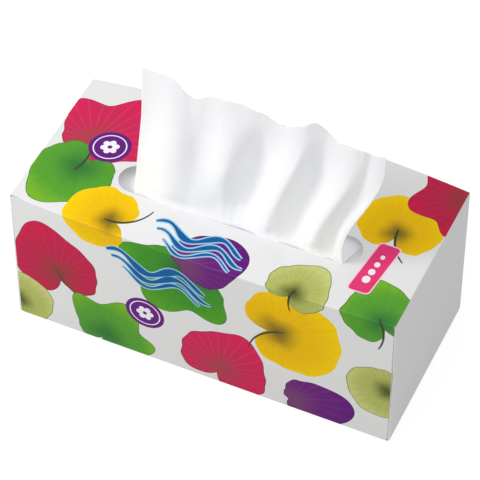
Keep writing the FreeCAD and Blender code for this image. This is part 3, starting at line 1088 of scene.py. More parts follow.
@dataclass(frozen=True)
class PrintDesign:
    """The printed design: large leaves strewn over the panels, with plain spots between them."""

    form: CartonForm
    slot_rim: float = 2.6
    # form, ink, along, around, heading, length, width, phase, stem and its bend
    front_leaves = (
        Leaf(HEART, Ink.CRIMSON, -82, 43, 106, 39, 1.1, 2.2, 26, 0.7),
        Leaf(ROUND, Ink.OLIVE, -108, 10, 52, 27, 1.0, 0.4),
        Leaf(LOBED, Ink.LIME, -56, 6, 62, 36, 1.05, 1.2),
        Leaf(LOBED, Ink.GREEN, -6, 80, 238, 42, 1.15, 2.4),
        Leaf(HEART, Ink.PINK, 12, 12, 66, 37, 1.15, 0.7),
        Leaf(ROUND, Ink.YELLOW, 44, 58, 14, 41, 1.08, 2.6, 26, 0.75),
        Leaf(OVAL, Ink.PURPLE, 53, 7, 14, 38, 1.3, 1.9),
        Leaf(ROUND, Ink.OLIVE, 106, 40, 214, 27, 1.05, 2.9),
    )
    # the leaves of the top panel and those that lap over its front fold
    top_leaves = (
        Leaf(LOBED, Ink.PINK, -86, 146, 66, 42, 1.05, 1.7),
        Leaf(OVAL, Ink.PURPLE, -40, 166, 108, 27, 1.4, 0.3),
        Leaf(HEART, Ink.LIME, -84, 126, 246, 36, 1.05, 2.2, 20, 0.6),
        Leaf(ROUND, Ink.YELLOW, -52, 98, 176, 30, 1.05, 1.1, 24, 0.9),
        Leaf(OVAL, Ink.PURPLE, -8, 86, 30, 38, 1.4, 2.6),
        Leaf(HEART, Ink.OLIVE, 52, 92, 62, 24, 1.2, 1.9, 14),
        Leaf(HEART, Ink.LIME, 100, 90, 118, 31, 1.1, 0.9, 20, -0.6),
        Leaf(ROUND, Ink.YELLOW, 84, 148, 92, 29, 1.15, 2.0, 20, 0.6),
        Leaf(LOBED, Ink.CRIMSON, 106, 184, 214, 30, 1.1, 0.5),
        Leaf(LOBED, Ink.OLIVE, 8, 198, 262, 32, 1.3, 0.5),
    )

    def shapes(self) -> list[Shape]:
        """Lays the design out. The back has the front's print, the other way up.

        Returns:
            Every printed shape, lowest first.
        """
        turn = self.form.folds[Panel.TOP] + self.form.folds[Panel.BACK]
        leaves = self.front_leaves + tuple(
            replace(leaf, along=-leaf.along, around=turn - leaf.around, heading=leaf.heading + 180)
            for leaf in self.front_leaves
        )
        motifs = leaves + self.top_leaves + (
            Disc(*self.form.top_place(-76.0, 2.0), turn=math.radians(25)),
            Disc(-31.0, 36.0), Disc(31.0, turn - 36.0),
            Swash(-22.0, 69.0), Swash(22.0, turn - 69.0),
            Swash(-4.0, 101.5, length=54.0, tilt=-1.0, swing=3.6, thick=2.3),
            Tab(*self.form.top_place(83.0, -19.0)),
        )
        made = [shape for motif in motifs for shape in motif.shapes()]
        return made + [Shape(self.form.slot_outline(self.slot_rim), Ink.WHITE)]


def covered(outline: list[Point], spots: np.ndarray) -> np.ndarray:
    """Which spots lie inside a closed outline, by how often it winds round them.

    Args:
        outline: the outline's points in order.
        spots: rows of two numbers.

    Returns:
        True or false for each spot.
    """
    inside = np.zeros(len(spots), bool)
    low, high = np.min(outline, axis=0), np.max(outline, axis=0)
    near = np.flatnonzero(np.all((spots >= low) & (spots <= high), axis=1))
    x, y = spots[near, 0], spots[near, 1]
    winding = np.zeros(len(near), int)
    for (ax, ay), (bx, by) in zip(outline, outline[1:] + outline[:1]):
        side = (bx - ax) * (y - ay) - (x - ax) * (by - ay)
        winding += (ay <= y) & (by > y) & (side > 0)
        winding -= (ay > y) & (by <= y) & (side < 0)
    inside[near] = winding != 0
    return inside


@dataclass
class Skin:
    """Faces as they are gathered, with the finish of each and the map and normal of its corners."""

    faces: list[tuple[int, ...]] = field(default_factory=list)
    finishes: list[int] = field(default_factory=list)
    places: list[Point] = field(default_factory=list)
    normals: list[Vector] = field(default_factory=list)

    def add(self, face: tuple[int, ...], ink: Ink, places: list[Point], normals: list[Vector]) -> None:
        """Adds one face.

        Args:
            face: the numbers of its points.
            ink: its finish.
            places: the map's place of each corner.
            normals: the outward direction at each corner.
        """
        self.faces.append(face)
        self.finishes.append(INKS.index(ink))
        self.places.extend(places)
        self.normals.extend(normals)


@dataclass(frozen=True)
class Carton:
    """The carton: one printed blank of board, folded and glued, with its slot torn open."""

    form: CartonForm
    design: PrintDesign
    # the panels' grid, the rubbed strip on each side of a fold, and the step that feels a slope
    grid: float = 8.0
    wear_width: float = 0.6
    probe: float = 0.02
    # points closer than this are one, and triangles smaller than this are dropped
    weld: float = 1e-4
    least_area: float = 1e-7

    def guides(self) -> tuple[list[Point], list[tuple[int, int]]]:
        """The points and lines that let the flat blank bend at its folds and bow between them.

        Returns:
            The points, and the pairs of them that a line joins.
        """
        form = self.form
        spots: list[Point] = []
        lines: list[tuple[int, int]] = []

        def line(points: list[Point]) -> None:
            """Adds a run of points joined by lines.

            Args:
                points: the points in order.
            """
            first = len(spots)
            spots.extend(points)
            lines.extend((first + i, first + i + 1) for i in range(len(points) - 1))

        columns = round(2 * form.hinge / self.grid)
        xs = [blend(-form.hinge, form.hinge, i / columns) for i in range(columns + 1)]
        seam = form.folds[Panel.GLUE]
        for fold in form.folds[Panel.FRONT:Panel.GLUE + 1]:
            for share in (-1.0, -0.5, 0.0, 0.5, 1.0):
                glued = fold == seam and share > 0
                reach = form.hinge - (form.glue_flap_end_gap if glued else 0.0)
                line([(x * reach / form.hinge, fold + share * form.fold_radius) for x in xs])
        for panel in range(Panel.GLUE):
            low, high = form.folds[panel], form.folds[panel + 1]
            rows = round((high - low) / self.grid)
            spots.extend((x, blend(low, high, row / rows)) for row in range(1, rows) for x in xs[1:-1])
            near, far = low + form.side_gap(panel), high - form.side_gap(panel)
            for end in (-1, 1):
                for share in (0.0, 0.25, 0.5, 0.75, 1.0):
                    x = end * (form.hinge + form.lead(panel) + share * form.bend)
                    line([(x, near), (x, (low + high) / 2), (x, far)])
                line([(end * form.hinge, near), (end * form.hinge, far)])
        return spots, lines

    def triangles(self) -> tuple[list[Point], list[Triangle]]:
        """Cuts the blank into triangles along every printed outline.

        Returns:
            The flat points, and each triangle with the shape that tops it.
        """
        spots, lines = self.guides()
        shapes = self.design.shapes()
        edge, slot = self.form.outline(), self.form.slot_outline()
        for outline in [edge, slot] + [shape.outline for shape in shapes]:
            first, count = len(spots), len(outline)
            lines.extend((first + i, first + (i + 1) % count) for i in range(count))
            spots.extend(outline)
        result = delaunay_2d_cdt([Vector(spot) for spot in spots], lines, [], 0, self.weld, False)
        flat = np.array([(v.x, v.y) for v in result[0]])
        corners = np.array(result[2])
        a, b, c = (flat[corners[:, i]] for i in range(3))
        area = (b[:, 0] - a[:, 0]) * (c[:, 1] - a[:, 1]) - (b[:, 1] - a[:, 1]) * (c[:, 0] - a[:, 0])
        corners[area < 0] = corners[area < 0][:, ::-1]
        middles = (a + b + c) / 3
        wanted = covered(edge, middles) & ~covered(slot, middles) & (np.abs(area) > self.least_area)
        corners, middles = corners[wanted], middles[wanted]
        tops = np.full(len(corners), -1)
        for number, shape in enumerate(shapes):
            tops[covered(shape.outline, middles)] = number
        tops[~self.printable(middles)] = -1
        # The last of these is what a top of -1 takes: bare board, mapped a tenth of a metre wide.
        shapes.append(Shape([], Ink.WHITE, heading=math.pi / 2, scale=100.0))
        kept = [(tuple(ids), shapes[top]) for ids, top in zip(corners.tolist(), tops)]
        return [tuple(spot) for spot in flat], kept

    def printable(self, spots: np.ndarray) -> np.ndarray:
        """Where the print may lie: front, top and back, up to the middle of the folds round them.

        Args:
            spots: rows of places on the blank.

        Returns:
            True or false for each.
        """
        folds = self.form.folds
        along, around = np.abs(spots[:, 0]), spots[:, 1]
        on_top = (around > folds[Panel.TOP]) & (around < folds[Panel.BACK])
        limit = self.form.hinge + np.where(on_top, self.form.lead(Panel.TOP), 0.0) + self.form.bend / 2
        return (along <= limit) & (around >= folds[Panel.FRONT]) & (around <= folds[Panel.GLUE])

    def normal(self, along: float, around: float) -> Vector:
        """The folded skin's outward direction.

        Args:
            along: the place along the blank.
            around: the place across it.

        Returns:
            The direction, one long.
        """
        step, point = self.probe, self.form.point
        ahead = point(along + step, around) - point(along - step, around)
        aside = point(along, around + step) - point(along, around - step)
        return ahead.cross(aside).normalized()

    def wear(self, along: float, around: float) -> float:
        """How much a place is rubbed by lying on a fold.

        Args:
            along: the place along the blank.
            around: the place across it.

        Returns:
            From 0 to 1.
        """
        near = min(abs(around - fold) for fold in self.form.folds[Panel.FRONT:Panel.GLUE + 1])
        rubbed = max(0.0, 1 - near / self.wear_width)
        panel = self.form.panel_at(around)
        if panel in WITH_LONG_FLAPS:
            middle = self.form.hinge + self.form.lead(panel) + self.form.bend / 2
            rubbed = max(rubbed, 1 - abs(abs(along) - middle) / self.wear_width)
        return rubbed

    def skin(
        self, flat: list[Point], kept: list[Triangle], outer: list[Vector], inner: list[Vector]
    ) -> Skin:
        """Gathers the faces: the printed side, the inner side and the cut edges between.

        Args:
            flat: the points' places on the blank.
            kept: each triangle with the shape that tops it.
            outer: the folded points of the printed side.
            inner: those of the inner side.

        Returns:
            The faces. The inner side's points are numbered on from the outer side's.
        """
        skin, count = Skin(), len(flat)
        normals = [self.normal(*spot) for spot in flat]
        for ids, shape in kept:
            skin.add(ids, shape.ink, [shape.local(flat[i]) for i in ids], [normals[i] for i in ids])
        sides = dict.fromkeys(side for ids, _ in kept for side in zip(ids, ids[1:] + ids[:1]))
        for ids, _ in kept:
            back = ids[::-1]
            turned = [-normals[i] for i in back]
            skin.add(tuple(i + count for i in back), Ink.INSIDE, [(0.0, 0.0)] * 3, turned)
        for a, b in sides:
            if (b, a) not in sides:
                across = (inner[a] - outer[a]).cross(outer[b] - outer[a]).normalized()
                skin.add((a, a + count, b + count, b), Ink.CUT, [(0.0, 0.0)] * 4, [across] * 4)
        return skin

    def build(self) -> bpy.types.Object:
        """Makes the carton's mesh.

        Returns:
            The piece.
        """
        flat, kept = self.triangles()
        used = sorted({i for ids, _ in kept for i in ids})
        order = {old: new for new, old in enumerate(used)}
        flat = [flat[i] for i in used]
        kept = [(tuple(order[i] for i in ids), shape) for ids, shape in kept]
        outer = [self.form.point(*spot) for spot in flat]
        inner = [self.form.point(*spot, self.form.board) for spot in flat]
        skin = self.skin(flat, kept, outer, inner)
        mesh = add_mesh("carton_blank", outer + inner, skin.faces)
        for ink in INKS:
            mesh.materials.append(ink.value.material())
        mesh.polygons.foreach_set("material_index", skin.finishes)
        mesh.polygons.foreach_set("use_smooth", [True] * len(skin.faces))
        add_map(mesh, "print", skin.places)
        rubbed = [self.wear(*spot) for spot in flat] + [0.0] * len(inner)
        worn = mesh.attributes.new("fold_wear", "FLOAT", "POINT")
        worn.data.foreach_set("value", np.array(rubbed, np.float32))
        mesh.normals_split_custom_set(skin.normals)
        carton = add_object("carton_blank", mesh)
        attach(carton, "root")
        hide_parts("carton")
        return carton


@dataclass(frozen=True)
class Fold:
    """One ridge or valley that runs up the pulled tissue, or one of its side edges.

    Low, middle and top say how far forward it stands low down, half way up and at the free edge: 1
    is as far to the front as the folds reach, and -1 as far to the back."""

    slot_x: float
    top_x: float
    low: float
    middle: float
    top: float


@dataclass(frozen=True)
class PulledTissue:
    """The tissue that stands in the slot: gathered against the front rim, with its tail on the pile."""

    form: CartonForm
    pile_top: float
    flat_width: float = 200.0
    flat_length: float = 180.0
    thickness: float = 0.14
    # the tail, and the end that is still folded under it
    lie_gap: float = 1.55
    under_gap: float = 0.2
    tail_back: float = 39.0
    tail_half: float = 94.0
    under_reach: float = 36.0
    ripple: float = 0.7
    tail_spread: float = 1.5
    tail_pull: float = 0.8
    tail_gather: float = 0.3
    turn_radius: float = 5.5
    # the part that stands: its folds' depth, and where their middle stands behind the slot's rim
    depth: float = 4.9
    low_set: float = 0.1
    top_set: float = 4.3
    # at the slot, where the sheet is pressed to the rim and bulges over it
    rim_gap: float = 0.22
    slot_share: float = 0.08
    pressed_rise: float = 0.16
    overhang: float = 1.2
    overhang_rise: float = 3.0
    # the free edge's outline is set at one y, and seen from the photograph's side
    edge_y: float = -20.0
    edge_aside: float = 0.53
    edge_fall: float = 1.085
    # where each change starts, and over how much of the rise it happens
    to_middle: Point = (0.1, 0.4)
    to_top: Point = (0.55, 0.4)
    off_rim: Point = (0.1, 0.5)
    fanning: Point = (0.1, 0.78)
    fanning_shares: Point = (0.35, 1.0)
    # fine gathers at the slot: how many, how they sway and bunch up, their depth, and how fast
    # they fade
    gathers: float = 21.0
    gather_sways: float = 3.0
    gather_sway: float = 2.0
    bunches: float = 5.3
    gather_depth: float = 0.1
    gather_fade: float = 2.5
    # soft creases above them: how many across and along, their depth, and how fast they come
    creases: Point = (14.0, 0.03)
    crease_depth: float = 0.75
    crease_rise: float = 6.0
    # how finely the sheet is divided
    columns: int = 240
    under_rows: int = 12
    hem_rows: int = 6
    tail_rows: int = 40
    turn_rows: int = 10
    rise_rows: int = 110

    folds = (
        Fold(-49.8, -45.5, -0.8, -0.8, -0.35),
        Fold(-28.5, -21.6, 0.8, 0.6, 0.15),
        Fold(-13.6, -10.2, 0.25, -0.15, -0.1),
        Fold(-1.1, 7.3, -0.3, 0.8, 0.15),
        Fold(10.8, 23.5, -1.2, -1.2, -0.25),
        Fold(25.4, 44.2, 0.85, 0.85, 0.3),
        Fold(39.3, 55.2, -0.9, -0.9, -0.3),
        Fold(51.5, 71.1, 0.7, 0.7, 0.1),
        Fold(60.9, 77.2, -0.5, -0.25, -0.2),
        Fold(66.9, 85.3, 0.2, 0.15, -0.1),
    )
    # the free edge's height along the box, where it stands at edge_y
    edge = (
        (-45.0, 181.0), (-30.0, 180.7), (-16.1, 170.6), (-4.2, 176.2), (9.2, 176.9), (20.9, 176.3),
        (32.1, 171.4), (41.0, 175.1), (49.3, 180.4), (64.7, 171.6), (75.0, 171.4), (86.0, 172.0),
    )

    @property
    def lie_level(self) -> float:
        """The height at which the tail lies."""
        return self.pile_top + self.lie_gap

    @property
    def under_level(self) -> float:
        """The height of the end that is folded under the tail."""
        return self.pile_top + self.under_gap

    @property
    def rim(self) -> float:
        """The y of the slot's front rim."""
        return -self.form.slot_forward - self.form.slot_width / 2

    def fold_at(self, across: float) -> Fold:
        """The sheet's fold values between one fold and the next.

        Args:
            across: the share of its width.

        Returns:
            The values there.
        """
        steps = across * (len(self.folds) - 1)
        turn = min(int(steps), len(self.folds) - 2)
        between = steps - turn
        one, two = self.folds[turn], self.folds[turn + 1]
        soft = smooth(between)
        return Fold(
            blend(one.slot_x, two.slot_x, between), blend(one.top_x, two.top_x, between),
            blend(one.low, two.low, soft), blend(one.middle, two.middle, soft),
            blend(one.top, two.top, soft),
        )

    def top_z(self, x: float, y: float) -> float:
        """The free edge's height, lower the further back it stands, so that its outline holds.

        Args:
            x: where the edge stands along the box.
            y: where it stands across it.

        Returns:
            Its height.
        """
        place = x + self.edge_aside * (y - self.edge_y)
        for (start, low), (end, high) in zip(self.edge, self.edge[1:]):
            if place <= end:
                break
        level = blend(low, high, smooth((place - start) / (end - start)))
        return level - self.edge_fall * (y - self.edge_y)

    def crinkle(self, across: float, row: int, above: float) -> float:
        """Small gathers at the slot and soft creases higher up.

        Args:
            across: the share of the sheet's width.
            row: the row of points, which the creases change along.
            above: the share of the rise.

        Returns:
            How far the sheet stands forward for them.
        """
        turn = 2 * math.pi * across
        bunched = (1 + math.sin(self.bunches * turn + 1.0)) / 2
        sway = self.gather_sway * math.sin(self.gather_sways * turn)
        gather = self.gather_depth * math.sin(self.gathers * turn + sway) * bunched
        crease = noise.noise(Vector((across * self.creases[0], row * self.creases[1], 3.7)))
        gather *= 1 - smooth(above * self.gather_fade)
        return gather + self.crease_depth * crease * smooth(above * self.crease_rise)

    @staticmethod
    def eased(above: float, change: Point) -> float:
        """How far a change has come, from 0 to 1, at a share of the rise."""
        return smooth((above - change[0]) / change[1])

    def front(self, fold: Fold, above: float) -> float:
        """How far in front of the box's middle line the sheet stands.

        Args:
            fold: the fold values at that share of the width.
            above: the share of the rise.

        Returns:
            The distance.
        """
        pressed = 1 - smooth(above / self.pressed_rise)
        stand = blend(fold.low, fold.middle, self.eased(above, self.to_middle))
        stand = blend(stand, fold.top, self.eased(above, self.to_top))
        depth = self.depth * blend(1.0, self.slot_share, pressed)
        at_slot = -self.rim - self.rim_gap - self.depth * self.slot_share
        middle = blend(-self.rim - self.low_set, -self.rim - self.top_set, smooth(above))
        return blend(middle, at_slot, pressed) + depth * stand

    def standing(self, across: float, row: int) -> Vector:
        """A point of the part that stands.

        Args:
            across: the share of the sheet's width.
            row: the row, from the turn at 0 to the free edge.

        Returns:
            The point.
        """
        fold = self.fold_at(across)
        above = row / self.rise_rows
        top = self.top_z(fold.top_x, -self.front(fold, 1.0))
        z = blend(self.lie_level + self.turn_radius, top, above)
        # The right side fans out late and fast, and the left side evenly.
        late = blend(*self.fanning_shares, across ** 3)
        x = blend(fold.slot_x, fold.top_x, blend(above, self.eased(above, self.fanning), late))
        over_rim = smooth((z - self.form.height) / self.overhang_rise)
        lean = self.overhang * over_rim * (1 - self.eased(above, self.off_rim))
        return Vector((x, -self.front(fold, above) - lean - self.crinkle(across, row, above), z))

    def turning(self, across: float, row: int) -> Vector:
        """A point of the bend between the tail and the standing part.

        Args:
            across: the share of the sheet's width.
            row: the row of the bend.

        Returns:
            The point.
        """
        foot = self.standing(across, 0)
        angle = math.pi / 2 * row / self.turn_rows
        y = foot.y + self.turn_radius * (1 - math.sin(angle))
        z = self.lie_level + self.turn_radius * (1 - math.cos(angle))
        return Vector((foot.x, y, z))

    def lying(self, across: float, along: float) -> Vector:
        """A point of the tail.

        Args:
            across: the share of the sheet's width.
            along: from the tail's far edge at 0 to the bend at 1.

        Returns:
            The point.
        """
        foot = self.turning(across, 0)
        spread = (1 - smooth(along)) ** self.tail_spread
        x = blend(foot.x, blend(-self.tail_half, self.tail_half, across), spread)
        y = blend(self.tail_back, foot.y, smooth(along) ** self.tail_pull)
        wave = self.fold_at(across).low * self.ripple * smooth(along * 3)
        gather = self.tail_gather * self.crinkle(across, 0, 0.0) * along
        return Vector((x, y, self.lie_level - wave - gather))

    def hidden(self, across: float, row: int) -> Vector:
        """A point of the end that is still folded under the tail, or of the bend round to it.

        Args:
            across: the share of the sheet's width.
            row: the row, from the sheet's end.

        Returns:
            The point.
        """
        x = blend(-self.tail_half, self.tail_half, across)
        if row < self.under_rows:
            y = self.tail_back - self.under_reach * (1 - row / self.under_rows)
            return Vector((x, y, self.under_level))
        angle = math.pi * (row - self.under_rows) / self.hem_rows
        reach = (self.lie_level - self.under_level) / 2
        y, z = self.tail_back + reach * math.sin(angle), self.under_level + reach * (1 - math.cos(angle))
        return Vector((x, y, z))

    def grid(self) -> list[list[Vector]]:
        """The sheet's points.

        Returns:
            Its rows, from its hidden end to its free edge.
        """
        shares = [column / self.columns for column in range(self.columns + 1)]
        rows = [[self.hidden(s, row) for s in shares] for row in range(self.under_rows + self.hem_rows)]
        rows += [[self.lying(s, row / self.tail_rows) for s in shares] for row in range(self.tail_rows)]
        rows += [[self.turning(s, row) for s in shares] for row in range(self.turn_rows)]
        return rows + [[self.standing(s, row) for s in shares] for row in range(self.rise_rows + 1)]

    def build(self, paper: bpy.types.Material) -> bpy.types.Object:
        """Makes the sheet.

        Args:
            paper: what it is made of.

        Returns:
            The piece.
        """
        rows = self.grid()
        width = self.columns + 1
        faces = [
            (r * width + c, r * width + c + 1, (r + 1) * width + c + 1, (r + 1) * width + c)
            for r in range(len(rows) - 1) for c in range(self.columns)
        ]
        mesh = add_mesh("pulled_sheet", [point for row in rows for point in row], faces)
        mesh.materials.append(paper)
        mesh.polygons.foreach_set("use_smooth", [True] * len(faces))
        flat = (self.flat_width * MM, self.flat_length * MM)
        spots = (divmod(point, width) for face in faces for point in face)
        add_map(mesh, "sheet", [(c / self.columns * flat[0], r / len(rows) * flat[1]) for r, c in spots])
        sheet = add_object("pulled_sheet", mesh)
        ply = sheet.modifiers.new("ply", "SOLIDIFY")
        ply.thickness = self.thickness * MM
        ply.offset = 0.0
        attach(sheet, "root")
        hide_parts("pulled_tissue")
        return sheet


@dataclass(frozen=True)
class TissuePile:
    """The pile of interfolded tissues, one soft fold above the other."""

    low: float
    high: float
    half_length: float = 100.0
    half_width: float = 44.0
    layers: int = 88
    rounding: float = 4.0
    jitter: float = 0.35
    seed: int = 7
    columns: int = 14
    arc_steps: int = 4

    @property
    def pitch(self) -> float:
        """The height of one fold."""
        return (self.high - self.low) / self.layers

    def fold(self) -> bpy.types.Mesh:
        """One folded tissue: a thin slab with round long edges.

        Returns:
            Its mesh, round the origin.
        """
        half = self.pitch / 2
        profile = []
        for side in (1, -1):
            for step in range(self.arc_steps + 1):
                turn = math.radians(-90 * side + 180 * step / self.arc_steps)
                profile.append(placed(half, 0.0, (side * (self.half_width - half), 0.0), turn))
        xs = [
            blend(-self.half_length, self.half_length, column / self.columns)
            for column in range(self.columns + 1)
        ]
        points = [(x, y, z) for x in xs for y, z in profile]
        size = len(profile)
        faces = []
        for start in range(0, self.columns * size, size):
            for i in range(size):
                a, b = start + i, start + (i + 1) % size
                faces.append((a, b, b + size, a + size))
        faces.append(tuple(reversed(range(size))))
        faces.append(tuple(range(self.columns * size, (self.columns + 1) * size)))
        return add_mesh("folded_tissue", points, faces)

    def tree(self, paper: bpy.types.Material) -> NodeTree:
        """The nodes that stack the folds, each a little out of line, with softer top layers.

        Args:
            paper: what they are made of.

        Returns:
            The geometry tree.
        """
        lengths = dict.fromkeys(("Pitch", "Lowest", "Jitter", "Rounding", "Half Width"), "Float")
        tree, inputs = geometry_tree("stacked_folds", {"Layers": "Int", **lengths})
        add = partial(add_node, tree)
        start = add("ShaderNodeCombineXYZ", {"Z": inputs["Lowest"]})
        step = add("ShaderNodeCombineXYZ", {"Z": inputs["Pitch"]})
        line = add(
            "GeometryNodeMeshLine", {"Count": inputs["Layers"], "Start Location": start, "Offset": step}
        )
        spread = {"Seed": self.seed, 0: (-1.0, -1.0, 0.0), 1: (1.0, 1.0, 0.0)}
        shift = add("FunctionNodeRandomValue", spread, data_type="FLOAT_VECTOR")
        moved = add("ShaderNodeVectorMath", {0: shift, "Scale": inputs["Jitter"]}, operation="SCALE")
        stack = add("GeometryNodeSetPosition", {"Geometry": line, "Offset": moved})
        # How far each layer lies under the top, in shares of the rounding, and how much it draws in.
        number = add(MATH, {0: add("GeometryNodeInputIndex"), 1: 0.5}, operation="ADD")
        above = add(MATH, {0: inputs["Layers"], 1: number}, operation="SUBTRACT")
        under = add(MATH, {0: above, 1: inputs["Pitch"]}, operation="MULTIPLY")
        under = add(MATH, {0: under, 1: inputs["Rounding"]}, operation="DIVIDE")
        share = add(MATH, {0: 1.0, 1: under}, operation="SUBTRACT")
        share = add(MATH, {0: share, 1: 0.0}, operation="MAXIMUM")
        bowed = add(MATH, {0: share, 1: 2.0}, operation="POWER")
        narrow = add(MATH, {0: inputs["Rounding"], 1: inputs["Half Width"]}, operation="DIVIDE")
        inset = add(MATH, {0: bowed, 1: narrow}, operation="MULTIPLY")
        inset = add(MATH, {0: inset, 1: 0.5}, operation="MULTIPLY")
        scale = add(MATH, {0: 1.0, 1: inset}, operation="SUBTRACT")
        scale = add("ShaderNodeCombineXYZ", {"X": scale, "Y": scale, "Z": 1.0})
        copies = {"Points": stack, "Instance": inputs["Geometry"], "Scale": scale}
        end_tree(tree, add("GeometryNodeInstanceOnPoints", copies), paper)
        return tree

    def build(self, paper: bpy.types.Material) -> bpy.types.Object:
        """Makes the pile.

        Args:
            paper: what it is made of.

        Returns:
            The piece.
        """
        values = {
            "Layers": self.layers, "Pitch": self.pitch * MM, "Lowest": (self.low + self.pitch / 2) * MM,
            "Jitter": self.jitter * MM, "Rounding": self.rounding * MM,
            "Half Width": self.half_width * MM,
        }
        maker = add_object("folded_tissue", self.fold())
        pile = add_object("folded_pile", run_nodes(maker, self.tree(paper), values, "folded_pile"))
        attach(pile, "root")
        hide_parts("tissue_stack")
        return pile


@dataclass(frozen=True)
class SlotNibs:
    """The stubs of board left round the slot where its perforated cover was torn out."""

    form: CartonForm
    spacing: float = 6.5
    # a stub, from its root just inside the board to its tip
    reach: float = 0.5
    width: float = 0.7
    root: float = 0.05
    board_share: float = 0.9
    seed: int = 3

    def nib(self) -> bpy.types.Mesh:
        """One stub: a small torn wedge of nearly the board's thickness, pointing along +Y.

        Returns:
            Its mesh, round the origin.
        """
        half, board = self.width / 2, self.form.board * self.board_share
        rim = (
            (-half, -self.root), (half, -self.root), (half * 0.55, self.reach), (0.0, self.reach * 0.7),
            (-half * 0.6, self.reach * 0.9),
        )
        points = [(x, y, z) for z in (-board / 2, board / 2) for x, y in rim]
        count = len(rim)
        faces = [tuple(reversed(range(count))), tuple(range(count, 2 * count))]
        faces += [(i, (i + 1) % count, (i + 1) % count + count, i + count) for i in range(count)]
        return add_mesh("nib", points, faces)

    def path(self) -> bpy.types.Object:
        """The slot's cut edge at the middle of the board.

        Returns:
            A closed curve.
        """
        outline = self.form.slot_outline()
        curve = bpy.data.curves.new("slot_edge", "CURVE")
        curve.dimensions = "3D"
        spline = curve.splines.new("POLY")
        spline.points.add(len(outline) - 1)
        for spot, place in zip(spline.points, outline):
            spot.co = (*(self.form.point(*place, self.form.board / 2) * MM), 1.0)
        spline.use_cyclic_u = True
        return add_object("slot_edge", curve)

    def tree(self, board: bpy.types.Material, nib: bpy.types.Object) -> NodeTree:
        """The nodes that set the stubs round the edge, pointing into the slot, each torn off unevenly.

        Args:
            board: what they are made of.
            nib: one stub.

        Returns:
            The geometry tree.
        """
        tree, inputs = geometry_tree("torn_nibs", {"Spacing": "Float"})
        add = partial(add_node, tree)
        spots = add(
            "GeometryNodeCurveToPoints", {"Curve": inputs["Geometry"], "Length": inputs["Spacing"]},
            mode="LENGTH",
        ).outputs
        stub = add("GeometryNodeObjectInfo", {"Object": nib}).outputs["Geometry"]
        aimed = add(
            "FunctionNodeAlignRotationToVector", {"Vector": spots["Tangent"]}, axis="X", pivot_axis="Z"
        )
        spread = {"Seed": self.seed, 0: (0.6, 0.5, 1.0), 1: (1.2, 1.1, 1.0)}
        size = add("FunctionNodeRandomValue", spread, data_type="FLOAT_VECTOR")
        copies = {"Points": spots["Points"], "Instance": stub, "Rotation": aimed, "Scale": size}
        end_tree(tree, add("GeometryNodeInstanceOnPoints", copies), board)
        return tree

    def build(self, board: bpy.types.Material) -> bpy.types.Object:
        """Makes the stubs as one piece.

        Args:
            board: what they are made of.

        Returns:
            The piece.
        """
        nib = add_object("nib", self.nib())
        mesh = run_nodes(self.path(), self.tree(board, nib), {"Spacing": self.spacing * MM}, "slot_nibs")
        bpy.data.objects.remove(nib)
        nibs = add_object("slot_nibs", mesh)
        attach(nibs, "root")
        return nibs


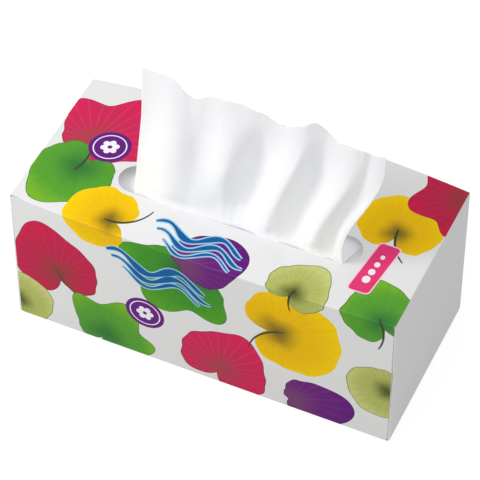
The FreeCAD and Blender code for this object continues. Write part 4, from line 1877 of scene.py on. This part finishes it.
@dataclass(frozen=True)
class Studio:
    """A pale floor and sky, a soft box from the left and the camera at the photograph's angle.

    Lengths are metres here."""

    camera_at: tuple[float, float, float] = (0.38068, -0.82686, 1.04738)
    camera_towards: tuple[float, float, float] = (-0.2828, 0.6142, -0.7368)
    lens: float = 192.1
    sensor: float = 36.0
    farthest: float = 50.0
    key_from: tuple[float, float, float] = (-0.64, -0.48, 0.60)
    key_distance: float = 1.05
    key_size: float = 0.42
    key_watts: float = 4.4
    sky_strength: float = 0.735
    floor_size: float = 6.0
    floor_reflecting: str = "B4B4B4"
    floor_seen: str = "A0A0A0"
    floor_glow: float = 0.78

    @staticmethod
    def aim(thing: bpy.types.Object, at: Vector, towards: Vector) -> None:
        """Puts the camera or the lamp in its place and turns it.

        Args:
            thing: the camera or the lamp.
            at: its place.
            towards: the way it looks or shines.
        """
        thing.location = at
        thing.rotation_mode = "QUATERNION"
        thing.rotation_quaternion = towards.to_track_quat("-Z", "Y")

    def camera(self) -> None:
        """Places the camera."""
        data = bpy.data.cameras.new("camera")
        data.lens = self.lens
        data.sensor_width = self.sensor
        data.clip_end = self.farthest
        camera = add_object("camera", data)
        self.aim(camera, Vector(self.camera_at), Vector(self.camera_towards))
        bpy.context.scene.camera = camera

    def key(self) -> None:
        """Hangs the round soft box that is the key light."""
        data = bpy.data.lights.new("key", "AREA")
        data.shape = "DISK"
        data.size = self.key_size
        data.energy = self.key_watts
        side = Vector(self.key_from).normalized()
        self.aim(add_object("key", data), side * self.key_distance, -side)

    @staticmethod
    def seen_white(tree: NodeTree) -> bpy.types.Node:
        """Tells the rays that see the backdrop itself from those that it lights.

        Args:
            tree: the material's or the world's tree.

        Returns:
            The node that gives one for the first and zero for the others.
        """
        rays = add_node(tree, "ShaderNodeLightPath").outputs
        seen = add_node(
            tree, MATH, {0: rays["Is Camera Ray"], 1: rays["Is Glossy Ray"]}, operation="MAXIMUM"
        )
        return add_node(tree, MATH, {0: seen, 1: rays["Is Transmission Ray"]}, operation="MAXIMUM")

    def sky(self) -> None:
        """Lights the scene evenly from all round, and shows white behind it."""
        world = bpy.data.worlds.new("sky")
        tree = empty_tree(world)
        levels = {0: self.seen_white(tree), 1: self.sky_strength}
        strength = add_node(tree, MATH, levels, operation="MAXIMUM")
        glow = add_node(tree, "ShaderNodeBackground", {"Color": WHITE_LIGHT, "Strength": strength})
        add_node(tree, "ShaderNodeOutputWorld", {"Surface": glow})
        bpy.context.scene.world = world

    def floor(self) -> None:
        """Lays the floor: white where it is seen, with the box's shadow, and grey as a reflector."""
        half = self.floor_size / 2
        mesh = bpy.data.meshes.new("floor")
        corners = [(-half, -half, 0), (half, -half, 0), (half, half, 0), (-half, half, 0)]
        mesh.from_pydata(corners, [], [(0, 1, 2, 3)])
        material = bpy.data.materials.new("studio_floor")
        tree = empty_tree(material)
        grey = add_node(tree, "ShaderNodeBsdfDiffuse", {"Color": linear(self.floor_reflecting)})
        pale = add_node(tree, "ShaderNodeBsdfDiffuse", {"Color": linear(self.floor_seen)})
        glow = add_node(
            tree, "ShaderNodeEmission", {"Color": WHITE_LIGHT, "Strength": self.floor_glow}
        )
        lifted = add_node(tree, "ShaderNodeAddShader", {0: pale, 1: glow})
        seen = self.seen_white(tree)
        chosen = add_node(tree, "ShaderNodeMixShader", {0: seen, 1: grey, 2: lifted})
        add_node(tree, "ShaderNodeOutputMaterial", {"Surface": chosen})
        mesh.materials.append(material)
        add_object("floor", mesh)

    def build(self) -> None:
        """Sets the whole studio up."""
        self.camera()
        self.key()
        self.sky()
        self.floor()
        bpy.context.scene.view_settings.view_transform = "Standard"


def main() -> None:
    """Builds the object, then the studio, and logs each piece's number of faces."""
    logging.basicConfig(level=logging.INFO, format="%(name)s %(message)s")
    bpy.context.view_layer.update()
    low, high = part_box("carton")
    form = CartonForm(length=(high.x - low.x) / MM)
    carton = Carton(form, PrintDesign(form)).build()
    nibs = SlotNibs(form).build(carton.data.materials[INKS.index(Ink.CUT)])
    paper = TissuePaper().material()
    low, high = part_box("tissue_stack")
    pile = TissuePile(low.z / MM, high.z / MM).build(paper)
    sheet = PulledTissue(form, pile_top=high.z / MM).build(paper)
    for piece in (carton, nibs, pile, sheet):
        log.info("%s: %d faces", piece.name, len(piece.data.polygons))
    Studio().build()


if __name__ == "__main__":
    main()
